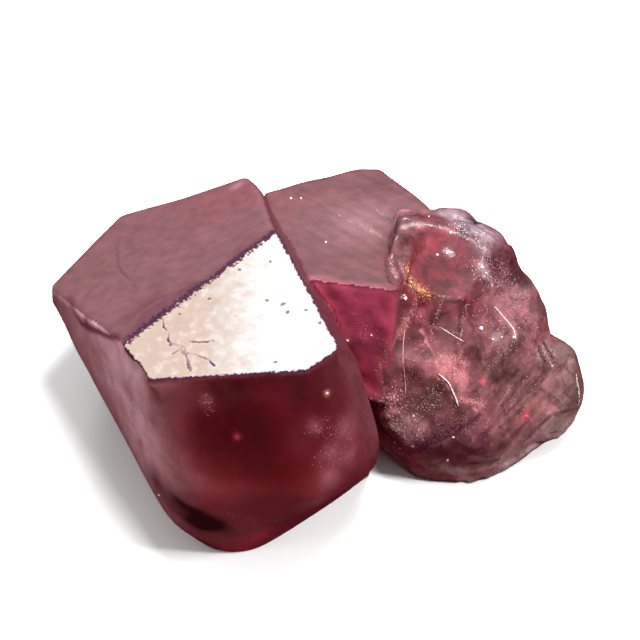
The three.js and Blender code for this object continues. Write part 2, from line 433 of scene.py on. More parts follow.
def sample(values, at):
    """Values of a grid field at places in the row frame, in mm."""
    cell = (at - (X[0], Y[0], Z[0])) / STEP
    base = np.clip(np.floor(cell).astype(int), 0, np.array(stone.shape) - 2)
    part = cell - base
    out = 0
    for i in (0, 1):
        for j in (0, 1):
            for k in (0, 1):
                share = (np.where(i, part[:, 0], 1 - part[:, 0]) * np.where(j, part[:, 1], 1 - part[:, 1])
                         * np.where(k, part[:, 2], 1 - part[:, 2]))
                v = values[base[:, 0] + i, base[:, 1] + j, base[:, 2] + k]
                out = out + (share[:, None] * v if v.ndim > 1 else share * v)
    return out


def faces_of(part):
    centre, faces = part
    return [(n, normal_of(h, t), normal_of(h, t) @ (np.array(centre) + SHIFT) + r) for n, h, t, r in faces]


def read(field_of):
    return points @ field_of[1] - field_of[2]


LOOKS = {
    # face: roughness, share of dusty (diffuse) surface, colour
    "BLOCK top mirror": (0.4, 0.4, (0.22, 0.03, 0.07)),     # what shows at its rim; the material adds the rest
    "BLOCK upper back slope": (0.40, 0.36, (0.40, 0.142, 0.172)),
    "BLOCK left side": (0.45, 0.97, (1.0, 0.68, 0.74)),
    "BLOCK front slope": (0.12, 0.04, (0.43, 0.009, 0.022)),
    "BLOCK front right corner": (0.22, 0.08, (0.36, 0.03, 0.055)),
    "BLOCK right side": (0.28, 0.21, (0.43, 0.13, 0.165)),
    "BLOCK inner bevel": (0.30, 0.22, (0.20, 0.078, 0.10)),
    "BLOCK front underside": (0.22, 0.48, (0.62, 0.22, 0.23)),
    "BLOCK right underside": (0.25, 0.12, (0.40, 0.06, 0.08)),
    "BLOCK left underside": (0.25, 0.10, (0.36, 0.03, 0.04)),
    "BLOCK": (0.35, 0.26, (0.44, 0.09, 0.12)),
    "SLAB top": (0.40, 0.38, (0.30, 0.092, 0.112)),
    # the front wall's own raspberry, made bright and dusty to paint in the glow of light coming through the slab
    "SLAB front wall": (0.26, 0.50, (0.95, 0.12, 0.25)),
    "SLAB": (0.35, 0.28, (0.46, 0.12, 0.15)),
    "LUMP": (0.24, 0.39, (0.36, 0.132, 0.145)),
    "RIM": (0.22, 0.32, (0.25, 0.062, 0.085)),
    "KNOB": (0.24, 0.37, (0.25, 0.135, 0.125)),
}
SOFT_EDGE = {"BLOCK": 0.45, "SLAB": 0.06, "LUMP": 0.12, "RIM": 0.05, "KNOB": 0.1}

best, lumps, flat_normals = None, [], np.zeros((len(points), 3))
rough = np.zeros(len(points))
dust = np.zeros(len(points))
tint = np.zeros((len(points), 3))
mirror = np.zeros(len(points))
part_of = np.zeros(len(points), int)
for number, (label, part) in enumerate((("BLOCK", BLOCK), ("SLAB", SLAB), ("LUMP", LUMP), ("RIM", RIM),
                                        ("KNOB", KNOB))):
    values = np.stack([read(f) for f in faces_of(part)], 1)
    outer = values.max(1)
    nearer = np.ones(len(points), bool) if best is None else outer < best
    best = outer if best is None else np.minimum(best, outer)
    looks = [LOOKS.get(label + " " + f[0], LOOKS[label]) for f in part[1]]
    looks = np.array([(r, d, *c) for r, d, c in looks])
    share = np.exp((values - outer[:, None]) / SOFT_EDGE[label])
    on_top = np.zeros(len(points), bool)
    if label == "BLOCK":
        on_top = values[:, 0] > values[:, 1:].max(1) + 0.02
        share[:, 0] = 0
        # the upper back slope meets the rest along a plain edge
        upper = values[:, 1] > np.delete(values, (0, 1), 1).max(1)
        share[:, 1] = np.where(upper, 1e6, 0)
    mixed = share @ looks / share.sum(1)[:, None]
    mixed[on_top] = looks[0]
    rough[nearer], dust[nearer], tint[nearer] = mixed[nearer, 0], mixed[nearer, 1], mixed[nearer, 2:]
    mirror[nearer] = on_top[nearer]
    part_of[nearer] = number
    if label == "SLAB":
        crease = np.abs(outer - block_outer)
        front_edge = np.abs(values[:, 0] - values[:, 1]) + 0.5 * np.maximum(outer - values[:, 0], 0)
    if label == "BLOCK":
        block_outer = outer
    if number < 2:
        values[:, 0] -= 9 * (label == "BLOCK")
        flat_normals[nearer] = np.array([f[1] for f in faces_of(part)])[values.argmax(1)][nearer]
    if number >= 2:
        lumps.append((np.exp(-outer / 0.10), mixed))
on_lump = (part_of >= 2) * 1.0
mixed = sum(a[:, None] * b for a, b in lumps) / sum(a for a, _ in lumps)[:, None]
at = part_of >= 2
rough[at], dust[at], tint[at] = mixed[at, 0], mixed[at, 1], mixed[at, 2:]

own = points - SHIFT
index = tuple(np.clip(np.round((points - (X[0], Y[0], Z[0])) / STEP).astype(int), 0, np.array(stone.shape) - 1).T)
ripple_noise = np.clip(middle[index], -1.2, 1.2)


def mark(weight, colour=None, dusty=None, roughness=None):
    """Blends a look into the surface where weight is above 0."""
    global rough, dust, tint
    weight = np.clip(weight, 0, 1) * (mirror < 0.5)
    if colour is not None:
        tint = tint + (np.array(colour) - tint) * weight[:, None]
    if dusty is not None:
        dust = dust + (dusty - dust) * weight
    if roughness is not None:
        rough = rough + (roughness - rough) * weight


def from_line(line):
    """Distance in mm of every point from a line through several places."""
    out = None
    for a, b in zip(line[:-1], line[1:]):
        a, b = np.array(a, float), np.array(b, float)
        t = np.clip((own - a) @ (b - a) / max(((b - a) ** 2).sum(), 1e-9), 0, 1)
        d = np.linalg.norm(own - a - t[:, None] * (b - a), axis=1)
        out = d if out is None else np.minimum(out, d)
    return out


def near_line(line, width, ragged=0.3):
    d = from_line(line) * (1 + 0.6 * ragged * ripple_noise) / width
    return np.exp(-d ** 2)


def near(at, width, ragged=0.3):
    return near_line([at, at], width, ragged)


# a thin dark purple line round it
depth = n_top @ (np.array(BLOCK[0]) + SHIFT) + top_plane[3] - points @ n_top
mark(0.8 * (part_of == 0) * smooth(0.11, 0.03, depth), (0.22, 0.03, 0.07), 0.4)
# painted shade: the creases beside the slab, and its front edge, darkened
mark(0.8 * (part_of < 2) * smooth(0.08, 0.02, crease), (0.24, 0.04, 0.07), 0.5)
# lines that both marks and scattered flakes follow
SHELL_EDGE = ((1.48, -0.23, 4.81), (1.45, -0.78, 4.95), (1.5, -1.46, 5.15), (1.68, -1.76, 5.1))
RIM_LINE = ((2.95, 0.93, 4.71), (3.36, 0.95, 4.60), (3.70, 0.61, 4.62), (4.02, 0.45, 4.43))
ORANGE_BREAK = ((1.98, -0.85, 4.86), (2.15, -1.0, 4.75), (2.42, -1.28, 4.55))

# the dusty back slope: pinker at the upper right, greyer at the left
mark(0.6 * near((-2.0, 2.2, 4.3), 1.4), (0.50, 0.11, 0.15))
mark(0.6 * near((-5.0, 0.4, 3.5), 1.3), (0.34, 0.13, 0.14), 0.40)
mark(0.5 * near((-3.6, 2.6, 3.6), 1.2), (0.36, 0.12, 0.14), 0.40)
# a painted highlight: a small pale pink spot near the top
mark(0.7 * near((-1.88, 2.53, 4.22), 0.16), (0.8, 0.4, 0.42), 0.5)
mark(0.85 * near_line([(-5.60, -0.35, 3.5), (-5.53, -0.5, 3.61), (-5.28, -1.22, 3.63), (-4.73, -2.30, 4.32),
                       (-4.23, -3.04, 4.91)], 0.09), (0.26, 0.03, 0.06), 0.25)
mark(0.8 * near((-5.1, -1.5, 3.95), 0.14), (0.30, 0.02, 0.04), 0.3)
# the left side: mottled, with paler flecks
for at, width in (((-4.14, -3.40, 3.73), 0.28), ((-4.85, -2.0, 3.4), 0.22), ((-3.64, -4.39, 3.81), 0.25),
                  ((-4.4, -3.1, 2.8), 0.25), ((-3.9, -3.9, 2.6), 0.2)):
    mark(0.45 * near(at, width, 0.6), (0.70, 0.28, 0.34), 0.36)
# the front: a feather, a magenta spot, a dark band, the frosty right part
mark(0.85 * near_line([(-2.3, -4.95, 4.2), (-1.0, -5.1, 4.2)], 0.95, 0.1) * (part_of == 0),
     (0.52, 0.004, 0.024), 0.02, 0.12)
mark(0.7 * near_line([(-2.1, -5.1, 3.4), (-1.0, -5.3, 3.4)], 0.55, 0.1) * (part_of == 0),
     (0.50, 0.004, 0.022), 0.03, 0.14)
mark(0.35 * near((-2.45, -4.66, 4.68), 0.16, 0.5), (0.80, 0.30, 0.42), 0.3)
mark(0.8 * near((-1.78, -5.09, 4.04), 0.06, 0.3), (0.95, 0.18, 0.40), 0.5)
mark(0.55 * near_line([(-1.07, -4.61, 5.12), (-0.6, -5.0, 4.5), (-0.45, -5.3, 3.9)], 0.40), (0.16, 0.01, 0.02), 0.3)
mark(0.45 * near((-3.2, -4.6, 4.7), 0.5, 0.5), (0.16, 0.01, 0.02), 0.25)
for at, width in (((-0.13, -5.02, 4.26), 0.28), ((0.50, -4.72, 3.94), 0.32), ((0.2, -5.1, 3.6), 0.3),
                  ((0.55, -4.9, 3.3), 0.3), ((0.1, -5.35, 3.0), 0.25)):
    mark(0.55 * near(at, width, 0.8), (0.66, 0.26, 0.30), 0.36)
# a painted glint: a small pale spot round a warm grain
mark(0.9 * near((0.13, -4.55, 4.82), 0.07), (0.85, 0.55, 0.5), 0.7)
# the lower front: a nearly black patch of painted shade, a painted red glow, and a paler brownish band along the
# foot, painted light coming through
mark(0.9 * near_line([(-2.40, -5.01, 0.69), (-1.31, -5.27, 1.41), (-0.13, -5.61, 2.35)], 0.30),
     (0.34, 0.16, 0.16), 0.60, 0.3)
mark(0.5 * near((-2.3, -5.35, 2.5), 0.35), (0.62, 0.03, 0.06), 0.3)
mark(1.4 * near_line([(-3.45, -4.75, 1.9), (-3.16, -5.23, 1.95), (-2.84, -5.30, 1.8), (-2.45, -5.20, 1.4)], 0.50),
     (0.012, 0.0005, 0.0005), 0.97, 0.5)
# the slab
mark(0.7 * near((0.9, 1.3, 4.3), 0.95), (0.56, 0.27, 0.30), 0.44)
# two painted pink glints
mark(0.7 * near((0.62, -1.81, 3.67), 0.09), (0.95, 0.35, 0.5), 0.6)
mark(0.6 * near((1.14, -1.97, 3.99), 0.07), (0.95, 0.35, 0.4), 0.6)
mark(0.4 * near((0.9, -1.6, 4.2), 0.4, 0.5), (0.75, 0.10, 0.22), 0.3)

shell = [(1.50, -0.5, 4.9), (1.58, -1.1, 5.1), (1.75, -1.6, 5.15)]
mark(0.75 * near_line(shell, 0.22, 0.5), (0.36, 0.05, 0.085), 0.35)
mark(0.8 * near_line(SHELL_EDGE, 0.055, 0.5), (0.12, 0.02, 0.035), 0.5)
mark(0.6 * near_line([(1.62, -0.9, 5.0), (1.72, -1.3, 5.1)], 0.05, 0.5), (0.80, 0.45, 0.48), 0.5)

# the lump
_, shade = facets(points, 0.32, 22, 0.20, 0.02)
_, broad = facets(points, 0.75, 21, 0.20, 0.04)
tint *= 1 + (on_lump * (0.45 * (shade - 0.5) + 0.4 * (broad - 0.5)))[:, None]
dust += on_lump * (0.14 * (shade - 0.5) + 0.10 * (broad - 0.5))
mark(0.95 * near((2.6, -0.45, 4.55), 0.80), (0.56, 0.020, 0.045), 0.18, 0.15)   # red bowl
mark(0.8 * near((2.45, -1.75, 3.95), 0.5, 0.5), (0.34, 0.022, 0.038), 0.18, 0.17)     # red facets under it
for at, width, colour in (
        ((2.03, -1.97, 3.77), 0.26, (0.20, 0.012, 0.02)), ((2.55, -1.95, 3.9), 0.28, (0.50, 0.20, 0.26)),
        ((3.20, -1.2, 4.1), 0.30, (0.24, 0.03, 0.06)), ((2.75, -1.5, 4.2), 0.20, (0.46, 0.09, 0.12)),
        ((2.9, -1.65, 3.75), 0.20, (0.22, 0.02, 0.04)), ((2.35, 0.1, 4.95), 0.35, (0.40, 0.05, 0.09)),
        ((2.66, -0.2, 4.8), 0.35, (0.62, 0.06, 0.11)), ((2.45, -0.9, 4.5), 0.30, (0.52, 0.05, 0.07))):
    mark(0.6 * near(at, width, 0.8), colour)
mark(0.7 * near_line([(1.85, 0.55, 4.9), (2.34, 0.95, 4.95), (2.75, 1.2, 4.8)], 0.3), (0.34, 0.07, 0.11), 0.26)
mark(0.5 * near((3.0, -1.0, 4.3), 0.75, 0.5), (0.42, 0.05, 0.08), 0.24)         # redder upper half
# the lavender facet: its pale colour is partly a painted reflection
mark(0.85 * near_line([(2.93, 1.20, 4.64), (3.5, 0.85, 4.65), (3.86, 0.62, 4.58), (3.75, 0.3, 4.6)], 0.26),
     (0.50, 0.38, 0.44), 0.55, 0.35)                                            # lavender facet
mark(0.8 * near_line([(1.85, 0.52, 4.92), (2.34, 0.54, 4.99), (2.83, 0.55, 4.86), (3.31, 0.25, 4.84),
                      (3.76, 0.10, 4.55), (4.06, 0.1, 4.28)], 0.07), (0.80, 0.50, 0.50), 0.55)   # arc
mark(0.8 * near_line(RIM_LINE, 0.045, 0.1), (0.20, 0.06, 0.12), 0.6)            # dark line across it
mark(0.95 * near((3.47, 1.00, 4.55), 0.10), (0.10, 0.07, 0.12), 0.8)
mark(0.95 * near_line(ORANGE_BREAK, 0.15, 0.5), (1.0, 0.29, 0.10), 0.7)         # orange fracture
mark(0.7 * near_line([(2.20, -1.34, 4.44), (1.79, -1.76, 3.90), (1.50, -2.17, 3.78), (1.26, -2.23, 3.09),
                      (1.5, -2.4, 2.2)], 0.08, 0.5), (0.85, 0.25, 0.27), 0.5)   # salmon border
mark(0.7 * near((4.2, -0.6, 3.6), 0.6, 0.6), (0.50, 0.20, 0.22), 0.45)          # shoulder
# painted glints: a pale streak along a short chain of them
mark(0.6 * near_line([(3.6, -0.22, 4.37), (3.69, -0.27, 4.23), (4.0, -0.4, 4.0)], 0.2, 0.6), (0.75, 0.42, 0.46), 0.5)
# a painted highlight along a bright curved crack
mark(0.85 * near_line([(4.00, -0.77, 3.75), (4.26, -0.89, 3.31), (4.35, -1.07, 2.96)], 0.06), (0.95, 0.55, 0.55), 0.7)
mark(0.6 * near((3.95, -1.27, 3.18), 0.18, 0.6), (0.75, 0.52, 0.60), 0.55)
for line, width in (
        ([(2.76, -2.15, 3.42), (3.21, -2.20, 2.83)], 0.12), ([(2.3, -2.42, 3.14), (3.21, -2.20, 2.9)], 0.09),
        ([(2.56, -2.3, 3.5), (2.85, -2.3, 2.95)], 0.10), ([(3.05, -2.55, 2.56), (3.65, -2.34, 2.15)], 0.07),
        ([(3.35, -2.0, 3.1), (2.9, -2.1, 3.35)], 0.09), ([(2.27, -2.44, 3.14), (2.15, -2.5, 3.0)], 0.06)):
    mark(0.75 * near_line(line, width, 0.6), (0.88, 0.27, 0.30), 0.48)          # pink star of feathers
mark(0.7 * near((2.45, -2.62, 2.6), 0.35, 0.6), (0.36, 0.16, 0.15), 0.5)        # grey-brown patches
mark(0.75 * near((1.55, -2.5, 2.3), 0.32, 0.6), (0.70, 0.24, 0.28), 0.5)        # sugary, pink and grey
mark(0.7 * near((1.75, -2.65, 1.8), 0.34, 0.6), (0.38, 0.22, 0.21), 0.55)
mark(0.7 * near((4.5, -1.6, 2.0), 0.95, 0.2), (0.22, 0.095, 0.092), 0.40, 0.28)   # flat brownish part
mark(0.8 * near((4.61, -2.01, 1.45), 0.10), (0.90, 0.12, 0.15), 0.5)
mark(0.8 * near((3.62, -2.02, 2.58), 0.08), (0.85, 0.12, 0.17), 0.5)
mark(0.8 * near_line([(2.14, -2.88, 1.30), (2.71, -2.85, 1.75), (3.35, -2.70, 2.01), (3.40, -2.83, 1.80),
                      (3.77, -2.89, 1.30)], 0.14, 0.4), (0.14, 0.03, 0.06), 0.45)   # dark band
mark(0.85 * smooth(1.3, 0.5, own[:, 2]) * on_lump, (0.48, 0.38, 0.37), 0.85)   # dark foot
# painted light: red lines along the lump's lower edge, lit from within
mark(0.8 * near_line([(1.65, -2.55, 1.14), (2.01, -2.81, 0.87), (2.3, -2.8, 0.5)], 0.09, 0.4),
     (0.90, 0.14, 0.17), 0.5)
mark(0.7 * near_line([(2.3, -2.8, 0.45), (2.61, -2.76, 0.28), (3.24, -2.77, 0.23), (4.27, -2.51, 0.38)], 0.07),
     (0.75, 0.12, 0.14), 0.5)
dust = np.clip(dust, 0, 1)
tint = np.clip(tint, 0.001, 0.98)

# how much fine bump each face carries
bumpy = np.where(part_of >= 2, 0.45, 0.0) * (1 - mirror)
lined = 0.45 * (part_of == 1) + 0.12 * (part_of == 0) * (1 - mirror)
hatch = near((4.4, -1.7, 1.9), 1.0, 0.2) * on_lump + 0.25 * on_lump

mesh = bpy.data.meshes.new("crystal_cluster")
mesh.from_pydata((points * MM).tolist(), [], quads.tolist())
mesh.shade_smooth()
for name, data in (("rough", rough), ("dust", dust), ("lined", lined), ("hatch", hatch), ("bumpy", bumpy)):
    mesh.attributes.new(name, "FLOAT", "POINT").data.foreach_set("value", data.astype(np.float32))
slopes = np.stack(np.gradient(soften(stone, 1)), -1)
normals = sample(slopes, points)
normals /= np.linalg.norm(normals, axis=1)[:, None]
at_edge = np.maximum(smooth(0.16, 0.06, depth) * (part_of == 0), smooth(0.16, 0.05, front_edge) * (part_of == 1))
crisp = np.maximum(at_edge, smooth(0.13, 0.05, crease) * (part_of < 2))[:, None]
normals += (flat_normals - normals) * crisp
normals /= np.linalg.norm(normals, axis=1)[:, None]
normals[mirror > 0.5] = n_top
mesh.normals_split_custom_set_from_vertices(normals.tolist())
rgba = np.concatenate([tint, np.ones((len(tint), 1))], 1).astype(np.float32)
mesh.attributes.new("tint", "FLOAT_COLOR", "POINT").data.foreach_set("color", rgba.ravel())
mesh.update()
stone_object = bpy.data.objects.new("crystal_cluster", mesh)
bpy.context.scene.collection.objects.link(stone_object)

# ---- materials -----------------------------------------------------------------

COS_45 = 0.7071
CORUNDUM_IOR = 1.77
BODY_DENSITY = 330.0                    # absorption in the stone, per m


class Nodes:
    """A material's or world's node tree, with short calls to add and join nodes."""

    def __init__(self, owner):
        self.owner = owner
        owner.use_nodes = True
        self.tree = owner.node_tree
        self.tree.nodes.clear()

    def join(self, value, socket):
        """Links a socket to another, or gives it a plain value."""
        if isinstance(value, bpy.types.NodeSocket):
            self.tree.links.new(value, socket)
        else:
            socket.default_value = value

    def add(self, kind, inputs=None, **settings):
        node = self.tree.nodes.new("ShaderNode" + kind)
        for key, value in settings.items():
            setattr(node, key, value)
        for key, value in (inputs or {}).items():
            self.join(value, node.inputs[key])
        return node

    def math(self, operation, *values):
        return self.add("Math", dict(enumerate(values)), operation=operation).outputs[0]

    def blend(self, factor, a, b):
        return self.add("Mix", {0: factor, 6: a, 7: b}, data_type="RGBA", clamp_factor=True).outputs[2]

    def spread(self, value, lo, hi, to_lo=0.0, to_hi=1.0):
        return self.add("MapRange", {0: value, 1: lo, 2: hi, 3: to_lo, 4: to_hi}).outputs[0]


n = Nodes(bpy.data.materials.new("crystal"))
spread = n.spread
out = n.add("OutputMaterial")
where = n.add("TexCoord").outputs["Object"]
in_mm = n.add("VectorMath", {0: where, "Scale": 1000.0}, operation="SCALE").outputs[0]


def times(a, b):
    return n.math("MULTIPLY", a, b)


def plus(a, b):
    return n.math("ADD", a, b)


def minus(a, b):
    return n.math("SUBTRACT", a, b)


def dot(vector, direction):
    return n.add("VectorMath", {0: vector, 1: tuple(direction)}, operation="DOT_PRODUCT").outputs["Value"]


def grainy(scale, detail=4.0, rough=0.55, vector=None):
    inputs = {"Vector": vector or in_mm, "Scale": scale, "Detail": detail, "Roughness": rough}
    return n.add("TexNoise", inputs).outputs[0]


def along(direction, length, width):
    """Coordinates that stretch a texture along a direction."""
    d = np.array(direction, float) / np.linalg.norm(direction)
    side = np.cross(d, (0.3, 0.2, 0.9))
    side /= np.linalg.norm(side)
    axes = (d / length, side / width, np.cross(d, side) / width)
    return n.add("CombineXYZ", dict(enumerate([dot(in_mm, axis) for axis in axes]))).outputs[0]


def from_segment(a, b, flat=False):
    """Distance in mm from a straight line between two places (in the bodies' own frame).

    With flat set, depth along a line that slopes down at 45 degrees towards the back doesn't count.
    """
    a, b = np.array(a) + SHIFT, np.array(b) + SHIFT
    if flat:
        a, b = [np.array([p[0], (p[1] + p[2]) * COS_45, 0.0]) for p in (a, b)]
    away = n.add("VectorMath", {0: flat_in if flat else wobbly, 1: tuple(a)}, operation="SUBTRACT").outputs[0]
    if (a == b).all():
        return n.add("VectorMath", {0: away}, operation="LENGTH").outputs["Value"]
    part = n.add("Clamp", {0: dot(away, (b - a) / ((b - a) ** 2).sum())}).outputs[0]
    on_line = n.add("VectorMath", {0: tuple(b - a), "Scale": part}, operation="SCALE").outputs[0]
    return n.add("VectorMath", {0: away, 1: on_line}, operation="DISTANCE").outputs["Value"]


def nearest(lines, flat=False):
    out = None
    for line in lines:
        for a, b in zip(line[:-1], line[1:]):
            d = from_segment(a, b, flat)
            out = d if out is None else n.math("MINIMUM", out, d)
    return out


def attribute(name, kind="Fac"):
    return n.add("Attribute", attribute_name=name).outputs[kind]


tint_in, rough_in, dust_in = attribute("tint", "Color"), attribute("rough"), attribute("dust")
lined_in, hatch_in, bumpy_in = attribute("lined"), attribute("hatch"), attribute("bumpy")
cloud = grainy(0.9, 1.0)
mottle = grainy(3.2, 3.0, 0.6)
speck = grainy(11.0, 1.5, 0.65)
bands = grainy(1.0, 2.0, 0.6, along((1, -1.3, 0.2), 4.5, 0.20))
strokes = grainy(1.0, 2.0, 0.6, along((0.85, 0.8, 0.3), 1.6, 0.12))
# the mirror face: where the top plane lies outside all the block's other planes
heights = [minus(dot(in_mm, f[1]), float(f[2])) for f in faces_of(BLOCK) if f[1][2] > -0.1]
other = heights[1]
for h in heights[2:]:
    other = n.math("MAXIMUM", other, h)
inside_top = plus(minus(heights[0], other), spread(speck, 0.3, 0.7, -0.03, 0.03))
mirror_in = spread(inside_top, 0.02, 0.045)
off_mirror = minus(1.0, mirror_in)
outline = times(spread(inside_top, -0.045, -0.01), off_mirror)
# places pushed aside a little, so that drawn lines waver; flat_in drops their depth
aside = n.add("VectorMath", {0: (0.25, 0.20, 0.0), "Scale": minus(mottle, 0.5)}, operation="SCALE").outputs[0]
wobbly = n.add("VectorMath", {0: in_mm, 1: aside}, operation="ADD").outputs[0]
sideways = dot(wobbly, (1.0, 0.0, 0.0))
flat_in = n.add("CombineXYZ", {0: sideways, 1: dot(wobbly, (0.0, COS_45, COS_45))}).outputs[0]

# the mirror face: its near-white colour is a painted reflection, creamier and a little rough towards its left end
cream = spread(plus(sideways, spread(mottle, 0.3, 0.7, -0.5, 0.5)), -0.93, -2.73)
mirror_reflection_colour = n.blend(cream, (0.93, 0.86, 0.84, 1), (0.75, 0.57, 0.45, 1))
tint_in = n.blend(mirror_in, tint_in, mirror_reflection_colour)
top_rough, top_dust = spread(cream, 0.0, 1.0, 0.19, 0.52), spread(cream, 0.0, 1.0, 0.34, 0.40)
rough_in = plus(rough_in, times(mirror_in, minus(top_rough, rough_in)))
dust_in = plus(dust_in, times(mirror_in, minus(top_dust, dust_in)))

# fine cracks and pits in the mirror face
CRACKS = (
    ((-3.46, -2.41, 5.02), (-3.22, -3.30, 5.05), (-2.95, -3.61, 5.09), (-2.58, -3.76, 5.14), (-2.21, -4.05, 5.19)),
    ((-3.15, -3.59, 5.06), (-2.96, -3.43, 5.09), (-2.86, -3.81, 5.10), (-2.77, -4.15, 5.11)),
    ((-2.96, -3.25, 5.09), (-2.59, -3.33, 5.14), (-2.29, -3.34, 5.18)),
    ((-3.22, -3.30, 5.05), (-2.96, -3.43, 5.09)),
)
BACK_CRACKS = (
    ((-4.60, 1.47, 3.41), (-4.48, 0.38, 3.78), (-4.13, -0.62, 4.23), (-4.05, -0.89, 4.34)),
    ((-4.91, -0.14, 3.76), (-5.21, -0.51, 3.74), (-5.22, -1.20, 3.85)),
)
# edges of the broken lump's facets
DARK_EDGES = (
    ((1.78, 0.66, 4.97), (1.68, 0.11, 5.01), (1.51, -0.15, 4.79), (1.89, -1.12, 5.06), (2.20, -1.26, 4.52)),
    ((2.78, -1.35, 4.42), (3.20, -1.13, 4.21), (3.12, -1.44, 3.92), (3.03, -1.77, 3.59)),
    ((2.01, -2.90, 1.15), (2.49, -2.89, 1.47), (2.95, -2.88, 1.78), (3.58, -2.49, 2.02)),
    ((4.69, -2.25, 1.05), (5.22, -1.72, 1.21), (5.82, -1.35, 1.02)),
)
PALE_EDGES = (
    ((2.25, -1.80, 4.00), (2.65, -2.38, 3.24), (2.99, -2.60, 2.58), (3.49, -2.49, 2.14)),
)
PITS = ((-1.07, -1.04, 5.35), (-1.75, -1.20, 5.26), (-2.42, -2.04, 5.16), (-3.05, -2.41, 5.08), (-1.17, -2.27, 5.34),
        (-0.80, -2.42, 5.39), (-0.30, -2.67, 5.46), (0.00, -3.11, 5.50), (-0.92, -4.14, 5.37), (-0.72, -2.7, 5.4))
crack = spread(nearest(CRACKS), 0.020, 0.060, 1.0, 0.0)
crack = times(crack, spread(mottle, 0.35, 0.6, 0.55, 1.0))
back_crack = times(spread(nearest(BACK_CRACKS), 0.01, 0.06, 0.6, 0.0), spread(mottle, 0.4, 0.6))
pit = spread(nearest([(p, p) for p in PITS]), 0.035, 0.075, 0.9, 0.0)
cells = [n.add("TexVoronoi", {"Vector": wobbly, "Scale": scale}, feature="F1") for scale in (1.25, 3.3)]
dots = cells[1].outputs["Distance"]
dots = times(spread(dots, 0.06, 0.14, 0.6, 0.0), spread(cloud, 0.45, 0.6))
net = n.add("TexVoronoi", {"Vector": wobbly, "Scale": 1.6}, feature="DISTANCE_TO_EDGE").outputs["Distance"]
web = times(spread(net, 0.0, 0.03, 0.35, 0.0), spread(cloud, 0.5, 0.62))
lump_in = times(bumpy_in, 2.2)
broken = spread(mottle, 0.36, 0.58, 0.15, 1.0)
dark_edge = times(spread(nearest(DARK_EDGES, True), 0.01, 0.06, 0.75, 0.0), times(broken, lump_in))
pale_edge = times(spread(nearest(PALE_EDGES, True), 0.008, 0.045, 0.7, 0.0), times(broken, lump_in))
# flat broken facets, two sizes of them, each a little lighter or darker
chips = [n.add("SeparateColor", {0: c.outputs["Color"]}).outputs[0] for c in cells]
chip = plus(times(chips[0], 0.55), times(chips[1], 0.45))
chip = times(minus(chip, 0.5), lump_in)
seam = times(spread(net, 0.01, 0.05, 0.5, 0.0), times(spread(speck, 0.42, 0.6), lump_in))
dark_edge = n.math("MAXIMUM", dark_edge, seam)
worn = times(n.math("MAXIMUM", n.math("MAXIMUM", crack, pit), n.math("MAXIMUM", dots, web)), mirror_in)
back_crack = times(back_crack, off_mirror)

# colour: the painted tint, mottled, with growth bands and fracture streaks
lively = minus(1.0, times(mirror_in, 0.75))
strength = plus(0.5, times(bumpy_in, 1.2))
shade = plus(spread(mottle, 0.3, 0.7, -0.14, 0.14), spread(speck, 0.3, 0.7, -0.10, 0.10))
shade = times(shade, strength)
shade = plus(shade, times(lined_in, spread(bands, 0.3, 0.7, -0.45, 0.45)))
shade = plus(shade, times(hatch_in, spread(strokes, 0.3, 0.7, -0.45, 0.45)))
shade = plus(shade, times(chip, 0.65))
shade = plus(1.0, times(shade, lively))
bright = n.add("VectorMath", {0: tint_in, "Scale": shade}, operation="SCALE").outputs[0]
colour = n.blend(times(times(spread(cloud, 0.45, 0.75, 0.0, 0.5), dust_in), lively),
                 bright, (0.60, 0.22, 0.26, 1))
tarnish = times(mirror_in, spread(grainy(4.5, 3.0, 0.65), 0.5, 0.72, 0.0, 0.4))
colour = n.blend(tarnish, colour, (0.60, 0.54, 0.64, 1))
worn = n.math("MAXIMUM", worn, outline)
colour = n.blend(worn, colour, (0.05, 0.02, 0.05, 1))
colour = n.blend(outline, colour, (0.05, 0.012, 0.03, 1))
colour = n.blend(n.math("MAXIMUM", back_crack, dark_edge), colour, (0.05, 0.01, 0.02, 1))
colour = n.blend(pale_edge, colour, (0.80, 0.34, 0.38, 1))
uneven = times(spread(mottle, 0.3, 0.7, -0.25, 0.25), strength)
roughness = times(rough_in, plus(1.0, uneven))
roughness = plus(roughness, times(worn, 0.6))
patch = plus(spread(grainy(2.4, 3.0, 0.6), 0.3, 0.7, -0.05, 0.09), spread(speck, 0.3, 0.7, -0.03, 0.05))
patch = times(mirror_in, patch)
roughness = plus(roughness, plus(patch, times(tarnish, 0.2)))
dusty = plus(dust_in, times(times(lively, dust_in), uneven))
dusty = plus(dusty, plus(times(chip, 0.16), times(pale_edge, 0.3)))
dusty = plus(dusty, plus(times(worn, 0.95), times(tarnish, 0.5)))
clear = n.add("Clamp", {0: minus(1.0, dusty)}).outputs[0]
height = times(grainy(7.0, 2.0, 0.7), times(bumpy_in, 1.6))
micro = n.add("Bump", {"Height": height, "Strength": 0.30, "Distance": 0.00002})
shader = n.add("BsdfPrincipled", {
    "Base Color": colour, "Roughness": roughness, "IOR": CORUNDUM_IOR,
    "Transmission Weight": clear, "Specular IOR Level": 0.3, "Normal": micro.outputs[0]})
volume = n.add("VolumeAbsorption", {"Color": (0.70, 0.05, 0.20, 1), "Density": BODY_DENSITY})
n.join(shader.outputs[0], out.inputs["Surface"])
n.join(volume.outputs[0], out.inputs["Volume"])
mesh.materials.append(n.owner)

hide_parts("sapphire_crystal")
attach(stone_object, "root")

# ---- inclusions, fibres and grains ------------------------------------------------


def settle(at, level):
    """Moves places onto the stone's surface, or to a level above or below it, in mm."""
    at = np.array(at, float)
    for _ in range(12):
        g = sample(slopes, at)
        g /= np.linalg.norm(g, axis=1)[:, None] + 1e-9
        at = at - (sample(stone, at) - level)[:, None] * g * 0.8
    return at


